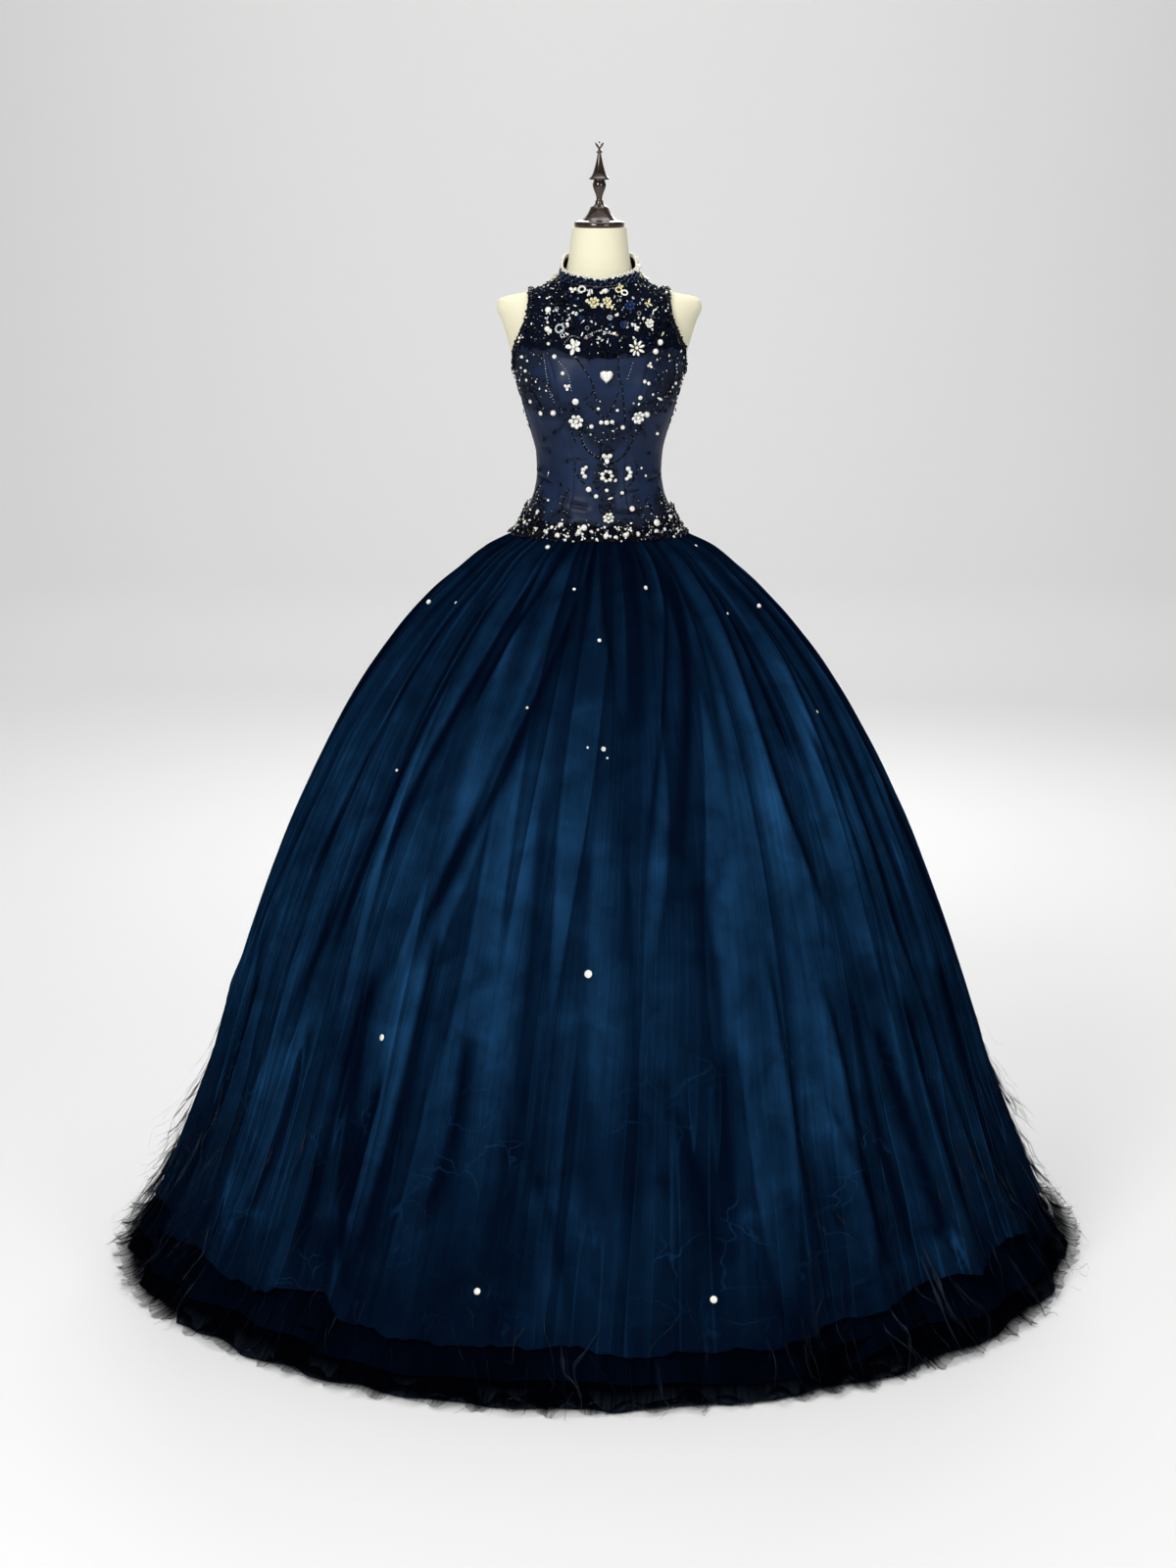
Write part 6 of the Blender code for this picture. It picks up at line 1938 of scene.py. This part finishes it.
columns = np.linspace(-177, 177, 132)
for row, up in enumerate(np.linspace(0.08, 0.86, 6)):
    shift = 1.34 if row % 2 else 0.0
    on_collar("seed", ("ink", "jet", "ink")[row % 3], columns + shift, up, 2.3)
    on_collar("seed", "silver", columns[row % 4::4] + shift + 0.7, up + 0.04, 1.7, 0.8 * MM)
rim = np.linspace(-177, 177, 118)
on_collar("seed", "pearl", rim, 1.10 + 0.08 * np.cos(np.arange(118) * math.pi), 4.6, -1.4 * MM)
on_collar("chip", "gold", rim[::3], 1.0, 5.2, -3.6 * MM)
on_collar("ring", "pearl", rim[::3], 1.04, 5.8, -0.2 * MM)
on_collar("seed", "jet", rim + 1.5, 0.94, 2.6, 0.2 * MM)
for turn, up, size, kind in ((52, 1.0, 10, "stone"), (66, 0.9, 9, "round"), (80, 1.05, 10, "ring"),
                             (92, 0.95, 9, "stone"), (104, 1.1, 8, "leaf"), (-82, 1.06, 8, "leaf"),
                             (-94, 1.02, 8, "ring"), (-70, 0.98, 7, "leaf"), (118, 1.0, 7, "round"),
                             (-112, 1.0, 7, "stone"), (140, 1.0, 7, "stone"), (-138, 1.0, 7, "round")):
    on_collar(kind, "pearl", turn, up, size, 0.5 * MM, 60.0)
bodice_beads = join_all("bodice")
print("bodice bead meshes:", len(bodice_beads),
      "faces:", sum(len(thing.data.polygons) for thing in bodice_beads))

# %% [markdown]
# Lone pearls are sewn on the organza, and each takes its normal from the folded surface.

# %% Skirt pearls
# Height, angle, mm size, kind.
SKIRT_PEARLS = [
    (1.249, -31.1, 9, "round"), (1.148, -78.3, 9, "round"), (1.157, -60.2, 6, "round"),
    (1.193, -9.8, 6, "round"), (1.194, 18.0, 8, "round"), (1.122, -0.1, 7, "round"),
    (0.963, 0.7, 9, "cluster"), (1.022, -17.1, 5, "round"), (0.905, -47.5, 5, "round"),
    (1.243, 68.0, 7, "round"), (1.148, 68.4, 8, "round"), (1.148, 46.7, 5, "stone"),
    (0.979, 63.8, 7, "round"), (0.634, -1.7, 14, "stone"), (0.511, -34.0, 12, "stone"),
    (0.158, -14.8, 12, "stone"), (0.148, 13.6, 13, "stone"), (0.967, -2.6, 4, "round"),
    (0.95, 1.6, 4, "round"), (1.15, 98.0, 8, "round"), (1.19, 140.0, 7, "round"),
    (1.12, 172.0, 8, "round"), (0.94, 128.0, 6, "round"), (0.62, 168.0, 13, "stone"),
    (0.5, 112.0, 12, "stone"), (0.16, 150.0, 12, "stone"), (1.18, -105.0, 7, "round"),
    (1.13, -152.0, 8, "round"), (0.9, -120.0, 6, "round"), (0.54, -146.0, 12, "stone"),
    (0.15, -168.0, 13, "stone"), (0.17, -100.0, 12, "stone"), (0.18, 92.0, 12, "stone"),
]
scan = np.linspace(0, 24, 4801)
for height, turn, size, kind in SKIRT_PEARLS:
    place = np.interp(turn, skirt_angle(scan, height), scan)
    steps = np.array([[0, 0.02, -0.02, 0, 0], [0, 0, 0, 2 * MM, -2 * MM]])
    near = overskirt_point(place + steps[0], height + steps[1])
    normal = unit(np.cross(near[1] - near[2], near[3] - near[4]))
    put(kind, "pearl", near[0] + normal * size * 0.22 * MM, normal, near[1] - near[2], size * MM,
        turn * 7.0, (1, 1, 0.75))
join_all("skirt")
print("pearls on the skirt:", len(SKIRT_PEARLS))

# %% [markdown]
# A coil zip has two rows of small teeth that lie in step. Each is a short bar across the tape.

# %% Zip teeth
up = np.arange(WAIST_SEAM + 0.03, 1.706, 2.4 * MM)
for side in (-1, 1):
    height = up + (1.2 * MM if side > 0 else 0)
    normal = figure_normal(180.0 + 0 * up, height)
    point = on_figure(180.0 + 0 * up, height, EASE + SATIN_WALL + 0.25 * MM)
    point[:, 0] += side * 0.7 * MM
    put("bar", "ink", point, normal, np.tile([1.0, 0, 0], (len(up), 1)), 2.6 * MM, 0.0, (1, 1.4, 0.8))
# Here ink means the zip's enamel, not glass.
FINISHES["ink"] = (ENAMEL, "zip_metal")
join_all("zip")
print("zip teeth:", 2 * len(up))

# %% [markdown]
# A studio sweep is a pale floor that curves up into the wall, so no edge shows behind the
# gown. It is wide enough for a camera on any side.

# %% Floor and wall
# How far behind the gown the wall stands, in metres.
WALL = 11.0


def studio():
    profile = [(-30, 0), (WALL - 3, 0)] + [(WALL - 3 + 3 * math.sin(a), 3 - 3 * math.cos(a))
                                           for a in np.linspace(0.1, math.pi / 2, 12)] + [(WALL, 9)]
    points = np.array([[(x, y, z) for x in (-30, 30)] for y, z in profile], float)
    rows = np.arange(len(profile) - 1) * 2
    quads = np.stack([rows, rows + 1, rows + 3, rows + 2], -1).ravel()
    floor = fill_mesh("floor", points.reshape(-1, 3), quads, np.arange(0, len(quads), 4))
    floor.data.materials.append(new_material("pale floor", (0.78, 0.78, 0.77), 0.9)[0])


studio()
print("wall", WALL, "m behind the gown")


# %% [markdown]
# Dark cloth needs broad soft light, or its folds vanish: a key and a weaker fill in front, a wide
# lamp overhead to even the floor, and two behind for the wall and the outline.

# %% Lamps and sky
def lamp(name, place, target, size, power):
    light = bpy.data.lights.new(name, "AREA")
    light.shape, light.size, light.energy = "DISK", size, power
    thing = bpy.data.objects.new(name, light)
    bpy.context.scene.collection.objects.link(thing)
    thing.location = place
    thing.rotation_euler = (Vector(target) - Vector(place)).to_track_quat("-Z", "Y").to_euler()


lamp("key", (-2.2, -4.4, 3.2), (0, 0, 1.0), 2.0, 172)
lamp("fill", (3.0, -4.6, 2.2), (0, 0, 0.9), 2.6, 75)
lamp("top", (0.2, 0.6, 4.6), (0, 0, 0.4), 3.0, 56)
lamp("ceiling", (0, 0, 10.0), (0, 0, 0), 16.0, 430)
lamp("wall wash", (0, 5.6, 5.8), (0, WALL, 1.8), 4.0, 200)
lamp("back", (0.4, 3.8, 3.0), (0, 0, 1.0), 2.2, 70)
world = bpy.data.worlds.new("pale room")
bpy.context.scene.world = world
world.use_nodes = True
sky = world.node_tree.nodes["Background"]
sky.inputs["Color"].default_value = (0.86, 0.88, 0.92, 1)
sky.inputs["Strength"].default_value = 0.20
bpy.context.scene.view_settings.view_transform = "Standard"
print("lamps:", len(bpy.data.lights))

# %% [markdown]
# The camera stands a little above the gown and looks slightly down.

# %% Camera and finish
camera = bpy.data.cameras.new("camera")
camera.lens = 75.3
viewer = bpy.data.objects.new("camera", camera)
bpy.context.scene.collection.objects.link(viewer)
viewer.location = (-0.019, -5.6, 2.0)
viewer.rotation_euler = (math.radians(90 - 11.9), 0, 0)
bpy.context.scene.camera = viewer
